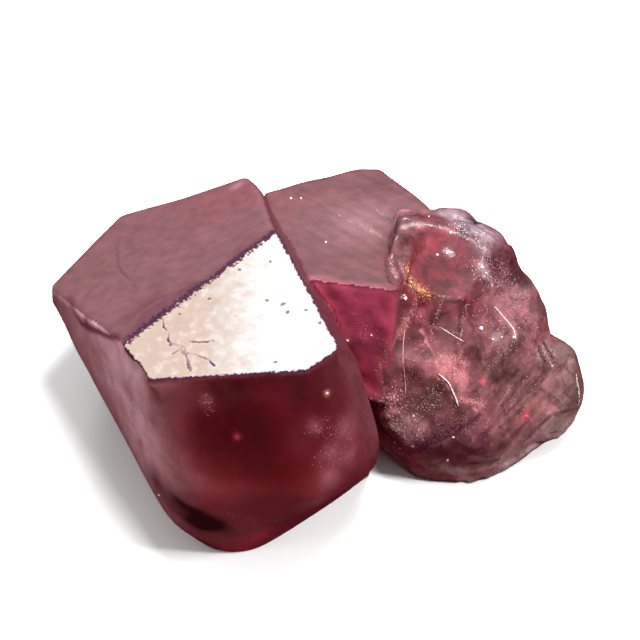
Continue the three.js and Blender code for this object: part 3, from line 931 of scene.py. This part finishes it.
def piece(name, verts, faces, material, colours=None, smooth_shading=False):
    m = bpy.data.meshes.new(name)
    verts = np.clip(np.array(verts), low, high) * MM
    m.from_pydata(verts.tolist(), [], faces)
    if smooth_shading:
        m.shade_smooth()
    if colours is not None:
        c = np.concatenate([np.array(colours), np.ones((len(colours), 1))], 1).astype(np.float32)
        m.attributes.new("tint", "FLOAT_COLOR", "POINT").data.foreach_set("color", c.ravel())
    m.materials.append(material)
    m.update()
    one = bpy.data.objects.new(name, m)
    bpy.context.scene.collection.objects.link(one)
    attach(one, "root")
    return one


def grain_material(name, roughness, scale):
    g = Nodes(bpy.data.materials.new(name))
    out = g.add("OutputMaterial")
    where = g.add("TexCoord").outputs["Object"]
    mm = g.add("VectorMath", {0: where, "Scale": 1000.0}, operation="SCALE").outputs[0]
    noise_in = g.add("TexNoise", {"Vector": mm, "Scale": scale, "Detail": 2.0}).outputs[0]
    tint_of = g.add("Attribute", attribute_name="tint").outputs["Color"]
    colour = g.add("VectorMath", {0: tint_of, "Scale": g.spread(noise_in, 0.3, 0.7, 0.75, 1.25)}, operation="SCALE")
    uneven = g.spread(noise_in, 0.3, 0.7, roughness * 0.7, roughness * 1.3)
    micro = g.add("Bump", {"Height": noise_in, "Strength": 0.3, "Distance": 0.00001})
    shader = g.add("BsdfPrincipled", {"Base Color": colour.outputs[0], "Roughness": uneven,
                                      "Normal": micro.outputs[0]})
    g.join(shader.outputs[0], out.inputs["Surface"])
    return g.owner


# Feathers: healed cracks inside the stone, each a cloud of tiny flakes on a curved sheet.
# Middle (own frame), normal, half length, half width, how many, colour, direction of its length.
FEATHERS = (
    ((-2.45, -4.25, 4.40), (0.3, -0.8, 0.5), 0.34, 0.16, 90, (0.85, 0.35, 0.45), (0.5, 0, -1)),
    ((-1.78, -4.85, 4.00), (0.1, -0.9, 0.4), 0.11, 0.05, 40, (0.95, 0.25, 0.50), (0.6, 0, -1)),
    ((-2.9, -4.7, 3.1), (-0.2, -0.8, 0.5), 0.50, 0.20, 90, (0.75, 0.25, 0.30), (1, 0, 0.6)),
    ((-1.0, -4.6, 3.2), (0.2, -0.8, 0.5), 0.50, 0.25, 90, (0.75, 0.20, 0.28), (1, 0, 0.3)),
    ((-0.1, -4.6, 3.9), (0.5, -0.7, 0.4), 0.45, 0.30, 130, (0.85, 0.45, 0.48), (0.2, 0, 1)),
    ((0.9, -1.35, 3.9), (0.3, -0.9, 0.2), 0.40, 0.20, 80, (0.95, 0.30, 0.45), (1, 0, 0.7)),
    ((2.45, -1.10, 4.30), (0.5, -0.6, 0.6), 0.35, 0.12, 110, (0.95, 0.45, 0.22), (0.6, 0, -1)),
    ((2.75, -0.55, 4.15), (-0.4, -0.5, 0.8), 0.55, 0.20, 110, (0.85, 0.35, 0.38), (1, 0.3, 0.5)),
    ((2.95, -1.95, 3.15), (0.2, -0.8, 0.5), 0.55, 0.10, 110, (0.95, 0.45, 0.45), (1, 0, -1)),
    ((2.80, -2.00, 3.10), (0.1, -0.8, 0.6), 0.50, 0.09, 100, (0.95, 0.45, 0.45), (1, 0, 0.25)),
    ((3.30, -2.10, 2.55), (0.3, -0.8, 0.5), 0.45, 0.07, 80, (0.95, 0.40, 0.42), (1, 0, -0.45)),
    ((2.35, -2.20, 2.45), (0.4, -0.8, 0.2), 0.40, 0.25, 100, (0.80, 0.45, 0.45), (0.3, 0, 1)),
    ((3.90, -1.55, 2.50), (0.5, -0.6, 0.6), 0.70, 0.16, 120, (0.80, 0.42, 0.42), (0.9, 0.5, 0.4)),
    ((4.40, -1.20, 2.00), (0.6, -0.5, 0.6), 0.60, 0.14, 100, (0.75, 0.40, 0.40), (0.9, 0.5, 0.4)),
    ((3.75, -0.70, 3.50), (0.6, -0.4, 0.6), 0.45, 0.20, 110, (0.85, 0.50, 0.52), (0.4, -0.3, -1)),
    ((3.10, -2.30, 1.60), (0.1, -0.9, 0.2), 0.60, 0.20, 100, (0.75, 0.35, 0.36), (1, 0, 0.5)),
)
rng = np.random.default_rng(31)
verts, faces, colours = [], [], []


def flake(p, lean, radius, colour, dimmest, brightest):
    """Adds one thin closed flake, a flat double pyramid on five uneven corners."""
    lean = lean / np.linalg.norm(lean)
    s1 = np.cross(lean, rng.normal(0, 1, 3))
    s1 /= np.linalg.norm(s1)
    s2 = np.cross(lean, s1)
    start = len(verts)
    for t in (np.arange(5) + rng.uniform(0, 0.7, 5)) * (2 * math.pi / 5):
        verts.append(p + radius * rng.uniform(0.5, 1.2) * (math.cos(t) * s1 + 0.55 * math.sin(t) * s2))
    verts.extend((p + 0.15 * radius * lean, p - 0.15 * radius * lean))
    colours.extend([np.array(colour) * rng.uniform(dimmest, brightest)] * 7)
    for k in range(5):
        q = (k + 1) % 5
        faces.append([start + k, start + q, start + 5])
        faces.append([start + q, start + k, start + 6])


for middle_of, normal, long_half, wide_half, count, colour, length_way in FEATHERS:
    nn = np.array(normal, float) / np.linalg.norm(normal)
    u = np.array(length_way, float) - np.dot(length_way, nn) * nn
    u /= np.linalg.norm(u)
    v = np.cross(nn, u)
    a = rng.uniform(-1, 1, count)
    b = rng.normal(0, 0.45, count) * np.sqrt(1 - 0.8 * a * a)
    at = (np.array(middle_of) + SHIFT + np.outer(a * long_half, u) + np.outer(b * wide_half, v)
          + np.outer(0.12 * long_half * (a * a + np.sin(5 * b)), nn) + rng.normal(0, 0.012, (count, 3)))
    size = rng.uniform(0.010, 0.036, count)
    deep = sample(stone, at) < -0.07
    for p, r in zip(at[deep], size[deep]):
        flake(p, nn + rng.normal(0, 0.4, 3), r, colour, 0.8, 1.1)

# Streaks of flakes at the surface: line, width, how many, colour, size.
STREAKS = (
    (((2.76, -2.15, 3.42), (3.0, -2.2, 3.1), (3.21, -2.20, 2.83)), 0.07, 260, (0.95, 0.42, 0.42), 0.03),
    (((2.3, -2.42, 3.14), (2.8, -2.3, 3.05), (3.21, -2.20, 2.9)), 0.05, 240, (0.95, 0.45, 0.45), 0.03),
    (((3.05, -2.55, 2.56), (3.35, -2.45, 2.4), (3.65, -2.34, 2.15)), 0.04, 200, (0.95, 0.40, 0.40), 0.03),
    (((3.35, -2.0, 3.1), (2.9, -2.1, 3.35), (2.6, -2.2, 3.6)), 0.05, 160, (0.90, 0.45, 0.45), 0.028),
    (((2.20, -1.34, 4.44), (1.95, -1.6, 4.1), (1.79, -1.76, 3.90), (1.50, -2.17, 3.78), (1.26, -2.23, 3.09)),
     0.045, 320, (0.92, 0.36, 0.32), 0.028),
    (ORANGE_BREAK, 0.13, 420, (1.0, 0.46, 0.22), 0.034),
    (((1.85, 0.52, 4.92), (2.34, 0.54, 4.99), (2.83, 0.55, 4.86), (3.31, 0.25, 4.84), (3.76, 0.10, 4.55)),
     0.022, 420, (0.88, 0.68, 0.68), 0.028),
    # pale lavender flakes on the facet that carries a painted reflection
    (((3.0, 0.75, 4.85), (3.45, 0.6, 4.8), (3.76, 0.4, 4.6)), 0.11, 260, (0.80, 0.72, 0.82), 0.035),
    # painted glints: pale flakes along a short chain
    (((3.6, -0.22, 4.37), (3.69, -0.27, 4.23), (4.0, -0.4, 4.0)), 0.12, 160, (0.95, 0.75, 0.78), 0.03),
    (((4.1, -0.6, 3.7), (4.5, -0.8, 3.0)), 0.28, 260, (0.75, 0.50, 0.50), 0.03),
    (((1.62, -2.4, 2.6), (1.55, -2.5, 2.2)), 0.20, 380, (1.0, 0.46, 0.50), 0.040),
    (((1.75, -2.6, 2.0), (1.8, -2.65, 1.5)), 0.24, 300, (0.66, 0.46, 0.44), 0.038),
    (((2.5, -2.6, 2.7), (2.4, -2.7, 2.3)), 0.20, 300, (0.62, 0.44, 0.42), 0.036),
    (((2.0, -2.0, 3.3), (2.3, -2.1, 3.1)), 0.20, 160, (0.70, 0.35, 0.38), 0.03),
    (((3.5, -2.4, 1.6), (4.4, -1.9, 2.3)), 0.03, 120, (0.66, 0.36, 0.34), 0.026),
    (((3.8, -2.4, 1.5), (4.7, -1.6, 2.2)), 0.03, 120, (0.66, 0.36, 0.34), 0.026),
    (((3.5, -1.9, 2.6), (4.2, -1.3, 2.9)), 0.03, 120, (0.68, 0.38, 0.36), 0.026),
    (((4.3, -2.1, 1.4), (5.0, -1.4, 2.0)), 0.03, 100, (0.60, 0.38, 0.36), 0.026),
    (((3.44, 1.05, 4.57), (3.52, 0.95, 4.56)), 0.05, 90, (0.04, 0.03, 0.06), 0.035),
    (RIM_LINE, 0.02, 160, (0.30, 0.12, 0.20), 0.025),
    (SHELL_EDGE, 0.03, 200, (0.20, 0.04, 0.06), 0.03),
    (((1.56, -0.4, 4.9), (1.57, -0.9, 5.0), (1.68, -1.4, 5.15)), 0.02, 150, (0.95, 0.66, 0.70), 0.026),
    (((1.66, -0.5, 4.95), (1.70, -0.95, 5.05), (1.80, -1.45, 5.15)), 0.02, 130, (0.25, 0.05, 0.08), 0.028),
    (((1.76, -0.7, 4.95), (1.84, -1.14, 5.05), (1.9, -1.3, 4.9)), 0.02, 110, (0.95, 0.60, 0.62), 0.026),
    (((4.95, -0.84, 2.56), (5.05, -0.90, 2.37), (5.12, -0.98, 2.19), (5.21, -1.02, 2.04)), 0.03, 120,
     (0.80, 0.62, 0.68), 0.026),
    (((4.79, -0.98, 2.57), (4.88, -1.04, 2.38), (4.98, -1.10, 2.19)), 0.035, 100, (0.70, 0.50, 0.54), 0.026),
    (((5.11, -0.70, 2.55), (5.23, -0.75, 2.35), (5.33, -0.86, 2.17)), 0.035, 100, (0.72, 0.54, 0.58), 0.026),
    (((4.87, -0.91, 2.56), (4.96, -0.97, 2.37), (5.05, -1.04, 2.19)), 0.02, 120, (0.16, 0.06, 0.08), 0.028),
    (((5.03, -0.77, 2.56), (5.14, -0.82, 2.36), (5.23, -0.92, 2.17)), 0.02, 120, (0.16, 0.06, 0.08), 0.028),
    # a painted highlight: a thin pale line along the knob's right rim
    (((5.80, -1.0, 1.75), (5.83, -1.13, 1.61), (5.86, -1.30, 1.39), (5.82, -1.35, 1.15)), 0.012, 150,
     (1.0, 0.92, 0.85), 0.028),
    (((2.6, -2.6, 2.2), (3.1, -2.75, 1.9), (3.5, -2.6, 1.6)), 0.22, 160, (0.60, 0.36, 0.36), 0.026),
    (((2.0, -1.5, 4.2), (2.5, -1.7, 4.0), (3.2, -1.6, 3.6)), 0.03, 130, (0.75, 0.36, 0.40), 0.024),
    (((2.7, -1.2, 4.4), (2.5, -1.9, 3.8)), 0.03, 120, (0.80, 0.42, 0.46), 0.024),
    (((3.2, -1.0, 4.1), (3.1, -1.8, 3.5)), 0.04, 120, (0.72, 0.40, 0.42), 0.026),
    (((3.5, -1.0, 3.9), (4.0, -1.2, 3.2), (4.2, -1.3, 2.8)), 0.20, 200, (0.70, 0.40, 0.42), 0.028),
    (((3.4, 0.0, 4.35), (3.9, -0.2, 3.9)), 0.18, 160, (0.85, 0.60, 0.62), 0.028),
    (((4.0, 0.2, 4.1), (4.4, -0.1, 3.6), (4.6, -0.4, 3.2)), 0.10, 200, (0.62, 0.40, 0.44), 0.03),
    (((2.14, -2.88, 1.30), (2.71, -2.85, 1.75), (3.35, -2.70, 2.01)), 0.10, 260, (0.08, 0.02, 0.04), 0.04),
    (((-0.13, -5.02, 4.26), (0.3, -4.85, 4.0), (0.50, -4.72, 3.7)), 0.16, 110, (0.60, 0.28, 0.32), 0.026),
    (((0.1, -5.2, 3.7), (0.5, -4.9, 3.3)), 0.18, 100, (0.55, 0.24, 0.28), 0.026),
    (((-2.45, -4.66, 4.78), (-2.35, -4.7, 4.5)), 0.08, 50, (0.60, 0.22, 0.32), 0.024),
    (((-4.14, -3.40, 3.73), (-4.0, -3.7, 3.5)), 0.13, 90, (0.80, 0.48, 0.52), 0.03),
    (((-4.85, -2.0, 3.4), (-4.6, -2.6, 3.2)), 0.10, 70, (0.72, 0.42, 0.46), 0.03),
    (((0.9, -1.7, 4.2), (1.3, -1.9, 3.8)), 0.16, 160, (0.95, 0.32, 0.42), 0.026),
    (((0.9, 1.2, 4.5), (1.6, 0.2, 4.6)), 0.03, 140, (0.80, 0.56, 0.58), 0.026),
    (((0.4, 1.7, 4.2), (1.2, 0.7, 4.5)), 0.025, 120, (0.78, 0.54, 0.56), 0.026),
    (((1.2, 1.9, 4.1), (1.8, 1.0, 4.5)), 0.025, 100, (0.80, 0.58, 0.60), 0.026),
)
for line, width, count, colour, size in STREAKS:
    line = np.array(line, float) + SHIFT
    t = rng.uniform(0, len(line) - 1, count)
    i = np.minimum(t.astype(int), len(line) - 2)
    at = line[i] + (line[i + 1] - line[i]) * (t - i)[:, None] + rng.normal(0, width, (count, 3))
    at = settle(at, rng.uniform(-0.004, 0.010, count))
    toward = sample(slopes, at)
    toward /= np.linalg.norm(toward, axis=1)[:, None] + 1e-9
    on_it = np.abs(sample(stone, at)) < 0.02
    for p, up in zip(at[on_it], toward[on_it]):
        flake(p, up + rng.normal(0, 0.35, 3), size * rng.uniform(0.35, 0.9), colour, 0.35, 0.68)
piece("inclusions", verts, faces, grain_material("inclusion_flakes", 0.35, 20.0), np.clip(colours, 0, 1))

# Fibres and bright crack edges lying on the surface, the last a painted highlight along a crack: places, radius,
# colour.
THREADS = (
    (((2.60, -2.44, 3.22), (2.85, -2.43, 2.95), (3.00, -2.58, 2.62), (3.06, -2.67, 2.42)), 0.017, (0.92, 0.74, 0.68)),
    (((1.87, -1.76, 3.93), (1.83, -1.97, 3.70), (1.86, -2.3, 3.1), (1.90, -2.55, 2.49)), 0.009, (0.85, 0.42, 0.38)),
    (((2.69, -1.74, 4.03), (2.95, -1.75, 3.77), (3.19, -1.70, 3.50)), 0.010, (0.85, 0.55, 0.58)),
    (((4.00, -0.77, 3.75), (4.14, -0.80, 3.58), (4.26, -0.89, 3.31), (4.35, -1.07, 2.96)), 0.016, (0.95, 0.62, 0.60)),
)
verts, faces, colours = [], [], []
for line, radius, colour in THREADS:
    line = np.array(line) + SHIFT
    t = np.linspace(0, len(line) - 1, 40)
    i = np.clip(t.astype(int), 0, len(line) - 2)
    path = line[i] + (line[i + 1] - line[i]) * (t - i)[:, None]
    for _ in range(6):
        path[1:-1] = (path[:-2] + 2 * path[1:-1] + path[2:]) / 4
    path = settle(path, radius * 0.4)
    for _ in range(3):
        path[1:-1] = (path[:-2] + 2 * path[1:-1] + path[2:]) / 4
    ahead = np.gradient(path, axis=0)
    ahead /= np.linalg.norm(ahead, axis=1)[:, None]
    side = np.cross(ahead, (0.2, -0.7, 0.7))
    side /= np.linalg.norm(side, axis=1)[:, None]
    over = np.cross(side, ahead)
    start, ring = len(verts), 8
    for k, p in enumerate(path):
        taper = min(1.0, 0.25 + 0.15 * min(k, len(path) - 1 - k)) * (1 + 0.15 * math.sin(k * 1.7))
        for m in range(ring):
            c = 2 * math.pi * m / ring
            verts.append(p + radius * taper * (math.cos(c) * side[k] + math.sin(c) * over[k]))
            colours.append(np.array(colour) * (0.9 + 0.1 * math.sin(k)))
    for k in range(len(path) - 1):
        for m in range(ring):
            q = (m + 1) % ring
            faces.append([start + k * ring + m, start + (k + 1) * ring + m,
                          start + (k + 1) * ring + q, start + k * ring + q])
    faces.append([start + m for m in range(ring)])
    faces.append([start + (len(path) - 1) * ring + m for m in reversed(range(ring))])
piece("fibres", verts, faces, grain_material("fibre", 0.4, 14.0), np.clip(colours, 0, 1), True)

# Painted glints: bright grains set in the surface: place, radius, colour.
WHITE, PINK, WARM = (0.95, 0.90, 0.88), (0.95, 0.42, 0.50), (0.98, 0.62, 0.36)
PAINTED_GLINT_GRAINS = (
    ((-0.66, 2.58, 3.79), 0.028, WHITE), ((-0.43, 2.55, 3.82), 0.028, WHITE), ((0.13, 0.46, 4.49), 0.030, WHITE),
    ((0.62, -1.81, 3.67), 0.035, PINK), ((1.14, -1.97, 3.99), 0.028, PINK), ((1.87, -1.26, 4.42), 0.045, WHITE),
    ((1.80, -1.18, 4.45), 0.030, WARM), ((1.98, -0.85, 4.86), 0.030, WARM), ((2.10, -0.98, 4.75), 0.028, WARM),
    ((2.94, 0.41, 4.87), 0.030, WHITE), ((2.70, -0.09, 4.80), 0.032, WHITE), ((3.60, -0.22, 4.37), 0.035, WHITE),
    ((3.69, -0.27, 4.23), 0.030, WHITE), ((3.52, -0.18, 4.45), 0.022, PINK), ((3.57, -1.32, 3.55), 0.045, WHITE),
    ((4.30, -1.05, 3.00), 0.042, WHITE), ((3.85, -1.33, 3.21), 0.028, WHITE), ((4.05, -1.20, 3.14), 0.026, WHITE),
    ((2.44, 0.98, 4.82), 0.022, WHITE), ((0.13, -4.55, 4.82), 0.035, WARM), ((2.96, -2.90, 1.68), 0.025, WHITE),
    ((2.84, -2.89, 0.89), 0.035, PINK), ((1.34, -2.25, 2.05), 0.025, PINK), ((2.08, -2.60, 2.05), 0.024, WHITE),
    ((4.61, -2.01, 1.45), 0.030, (0.9, 0.12, 0.15)), ((3.62, -2.02, 2.58), 0.022, (0.9, 0.15, 0.2)),
    ((-3.45, -4.65, 1.75), 0.028, WHITE), ((1.77, -2.62, 1.02), 0.030, PINK), ((1.65, -2.56, 1.14), 0.024, WHITE),
    ((3.95, -0.40, 4.00), 0.024, PINK), ((5.21, -1.02, 2.04), 0.022, WHITE), ((2.3, -1.6, 4.2), 0.018, PINK),
)
corners = np.array([(1, 0, 0), (-1, 0, 0), (0, 1, 0), (0, -1, 0), (0, 0, 1), (0, 0, -1),
                    *[(a, b, c) for a in (-.6, .6) for b in (-.6, .6) for c in (-.6, .6)]], float)
grain_faces = [(4, 13, 0), (4, 0, 11), (4, 11, 3), (4, 3, 7), (4, 7, 1), (4, 1, 9), (4, 9, 2), (4, 2, 13),
               (5, 0, 12), (5, 10, 0), (5, 3, 10), (5, 6, 3), (5, 1, 6), (5, 8, 1), (5, 2, 8), (5, 12, 2),
               (13, 2, 12), (13, 12, 0), (0, 10, 11), (11, 10, 3), (3, 6, 7), (7, 6, 1), (1, 8, 9), (9, 8, 2)]
rng = np.random.default_rng(41)
verts, faces, colours = [], [], []
for at, radius, colour in PAINTED_GLINT_GRAINS:
    p = settle(np.array([at]) + SHIFT, radius * 0.15)[0]
    start = len(verts)
    shape = corners * rng.uniform(0.7, 1.25, (14, 1)) * (1, 1, 0.8) * radius
    for v in shape:
        verts.append(p + v)
        colours.append(np.array(colour) * rng.uniform(0.9, 1.05))
    faces += [[start + i for i in reversed(f)] for f in grain_faces]
piece("painted_glints", verts, faces, grain_material("painted_glint", 0.3, 25.0), np.clip(colours, 0, 1))

# ---- stage ---------------------------------------------------------------------

FLOOR_HALF = 0.6                        # m
FLOOR_DROP = 0.00002                    # m, so that the floor and the stone's foot don't share a plane
FADE_FROM, FADE_TO = 0.02, 0.06         # where the floor turns plain white, in m from the stone
PALE = (0.97, 0.97, 0.97, 1)
DEEP_RED = (0.09, 0.010, 0.016, 1)      # the floor as every ray but the camera's sees it
FRONT, BACK, TOP = 0.06, 0.36, 1.0      # brightness of the studio round the stone

h = FLOOR_HALF
floor_mesh = bpy.data.meshes.new("floor")
floor_mesh.from_pydata([(-h, -h, 0), (h, -h, 0), (h, h, 0), (-h, h, 0)], [], [(0, 1, 2, 3)])
floor = bpy.data.objects.new("floor", floor_mesh)
floor.location.z = -FLOOR_DROP
bpy.context.scene.collection.objects.link(floor)
pale = Nodes(bpy.data.materials.new("pale_floor"))
out = pale.add("OutputMaterial")
seen = pale.add("LightPath").outputs["Is Camera Ray"]
diffuse = pale.add("BsdfDiffuse", {"Color": pale.blend(seen, DEEP_RED, PALE)})
white = pale.add("Emission", {"Color": (1, 1, 1, 1), "Strength": 1.0})
from_middle = pale.add("VectorMath", {0: pale.add("TexCoord").outputs["Object"]}, operation="LENGTH").outputs["Value"]
far = pale.math("MULTIPLY", pale.spread(from_middle, FADE_FROM, FADE_TO), seen)
shaded = pale.add("MixShader", {0: far, 1: diffuse.outputs[0], 2: white.outputs[0]})
pale.join(shaded.outputs[0], out.inputs["Surface"])
pale.owner.cycles.emission_sampling = "NONE"
floor_mesh.materials.append(pale.owner)

# The sky: white to the camera, and to all else dim in front, brighter behind and overhead.
w = Nodes(bpy.data.worlds.new("studio"))
bpy.context.scene.world = w.owner
split = w.add("SeparateXYZ", {0: w.add("TexCoord").outputs["Generated"]})
tilted = w.math("SUBTRACT", w.math("MULTIPLY", split.outputs["Y"], 0.8), w.math("MULTIPLY", split.outputs["X"], 0.6))
toward_back = w.add("MapRange", {0: tilted, 1: -0.45, 2: 0.25, 3: FRONT, 4: BACK},
                    interpolation_type="SMOOTHSTEP").outputs[0]
leaning = w.math("ADD", w.math("MULTIPLY", tilted, 0.3), split.outputs["Z"])
overhead = w.add("MapRange", {0: leaning, 1: 0.15, 2: 0.85, 3: 0.0, 4: 1.0},
                 interpolation_type="SMOOTHSTEP").outputs[0]
level = w.add("Mix", {0: overhead, 2: toward_back, 3: TOP}, data_type="FLOAT").outputs[0]
lit = w.add("Background", {1: level}).outputs[0]
seen = w.add("Background", {0: (1, 1, 1, 1), 1: 1.0}).outputs[0]
both = w.add("MixShader", {0: w.add("LightPath").outputs["Is Camera Ray"], 1: lit, 2: seen})
w.join(both.outputs[0], w.add("OutputWorld").inputs["Surface"])


def soft_box(name, heading, elevation, distance, size, radiance, glossy=False):
    """A round soft light that faces the stone, set by the brightness of its face."""
    data = bpy.data.lights.new(name, "AREA")
    data.shape = "DISK"
    data.size = size
    data.energy = radiance * math.pi * math.pi * (size / 2) ** 2
    lamp = bpy.data.objects.new(name, data)
    h, e = math.radians(heading), math.radians(elevation)
    away = np.array([math.cos(h) * math.cos(e), math.sin(h) * math.cos(e), math.sin(e)])
    lamp.visible_glossy = lamp.visible_transmission = glossy
    lamp.location = away * distance
    lamp.rotation_mode = "QUATERNION"
    lamp.rotation_quaternion = (-Vector(away)).to_track_quat("-Z", "Y")
    bpy.context.scene.collection.objects.link(lamp)


# name, heading and elevation in degrees, distance and size in m, brightness
soft_box("back_light", 105, 43, 0.15, 0.04, 10, glossy=True)
soft_box("glint_light", -20, 72, 0.16, 0.006, 190, glossy=True)
soft_box("top_light", -20, 82, 0.16, 0.04, 61)
soft_box("right_light", -20, 42, 0.16, 0.034, 92)
soft_box("left_light", 205, 20, 0.15, 0.05, 6)

# ---- camera --------------------------------------------------------------------

CAMERA_ELEVATION = 45                   # degrees
CAMERA_TARGET = (0, 0, 2.481)           # mm, before the stone's shift
CAMERA_DISTANCE = 99.81                 # mm
CAMERA_LENS = 248.9

scene = bpy.context.scene
scene.view_settings.view_transform = "Standard"
data = bpy.data.cameras.new("camera")
data.lens = CAMERA_LENS
data.sensor_width = 36
data.clip_start = 0.001
data.clip_end = 10
camera = bpy.data.objects.new("camera", data)
e = math.radians(CAMERA_ELEVATION)
target = np.array(CAMERA_TARGET) + SHIFT
camera.location = (target + CAMERA_DISTANCE * np.array([0, -math.cos(e), math.sin(e)])) * MM
camera.rotation_euler = (math.pi / 2 - e, 0, 0)
scene.collection.objects.link(camera)
scene.camera = camera
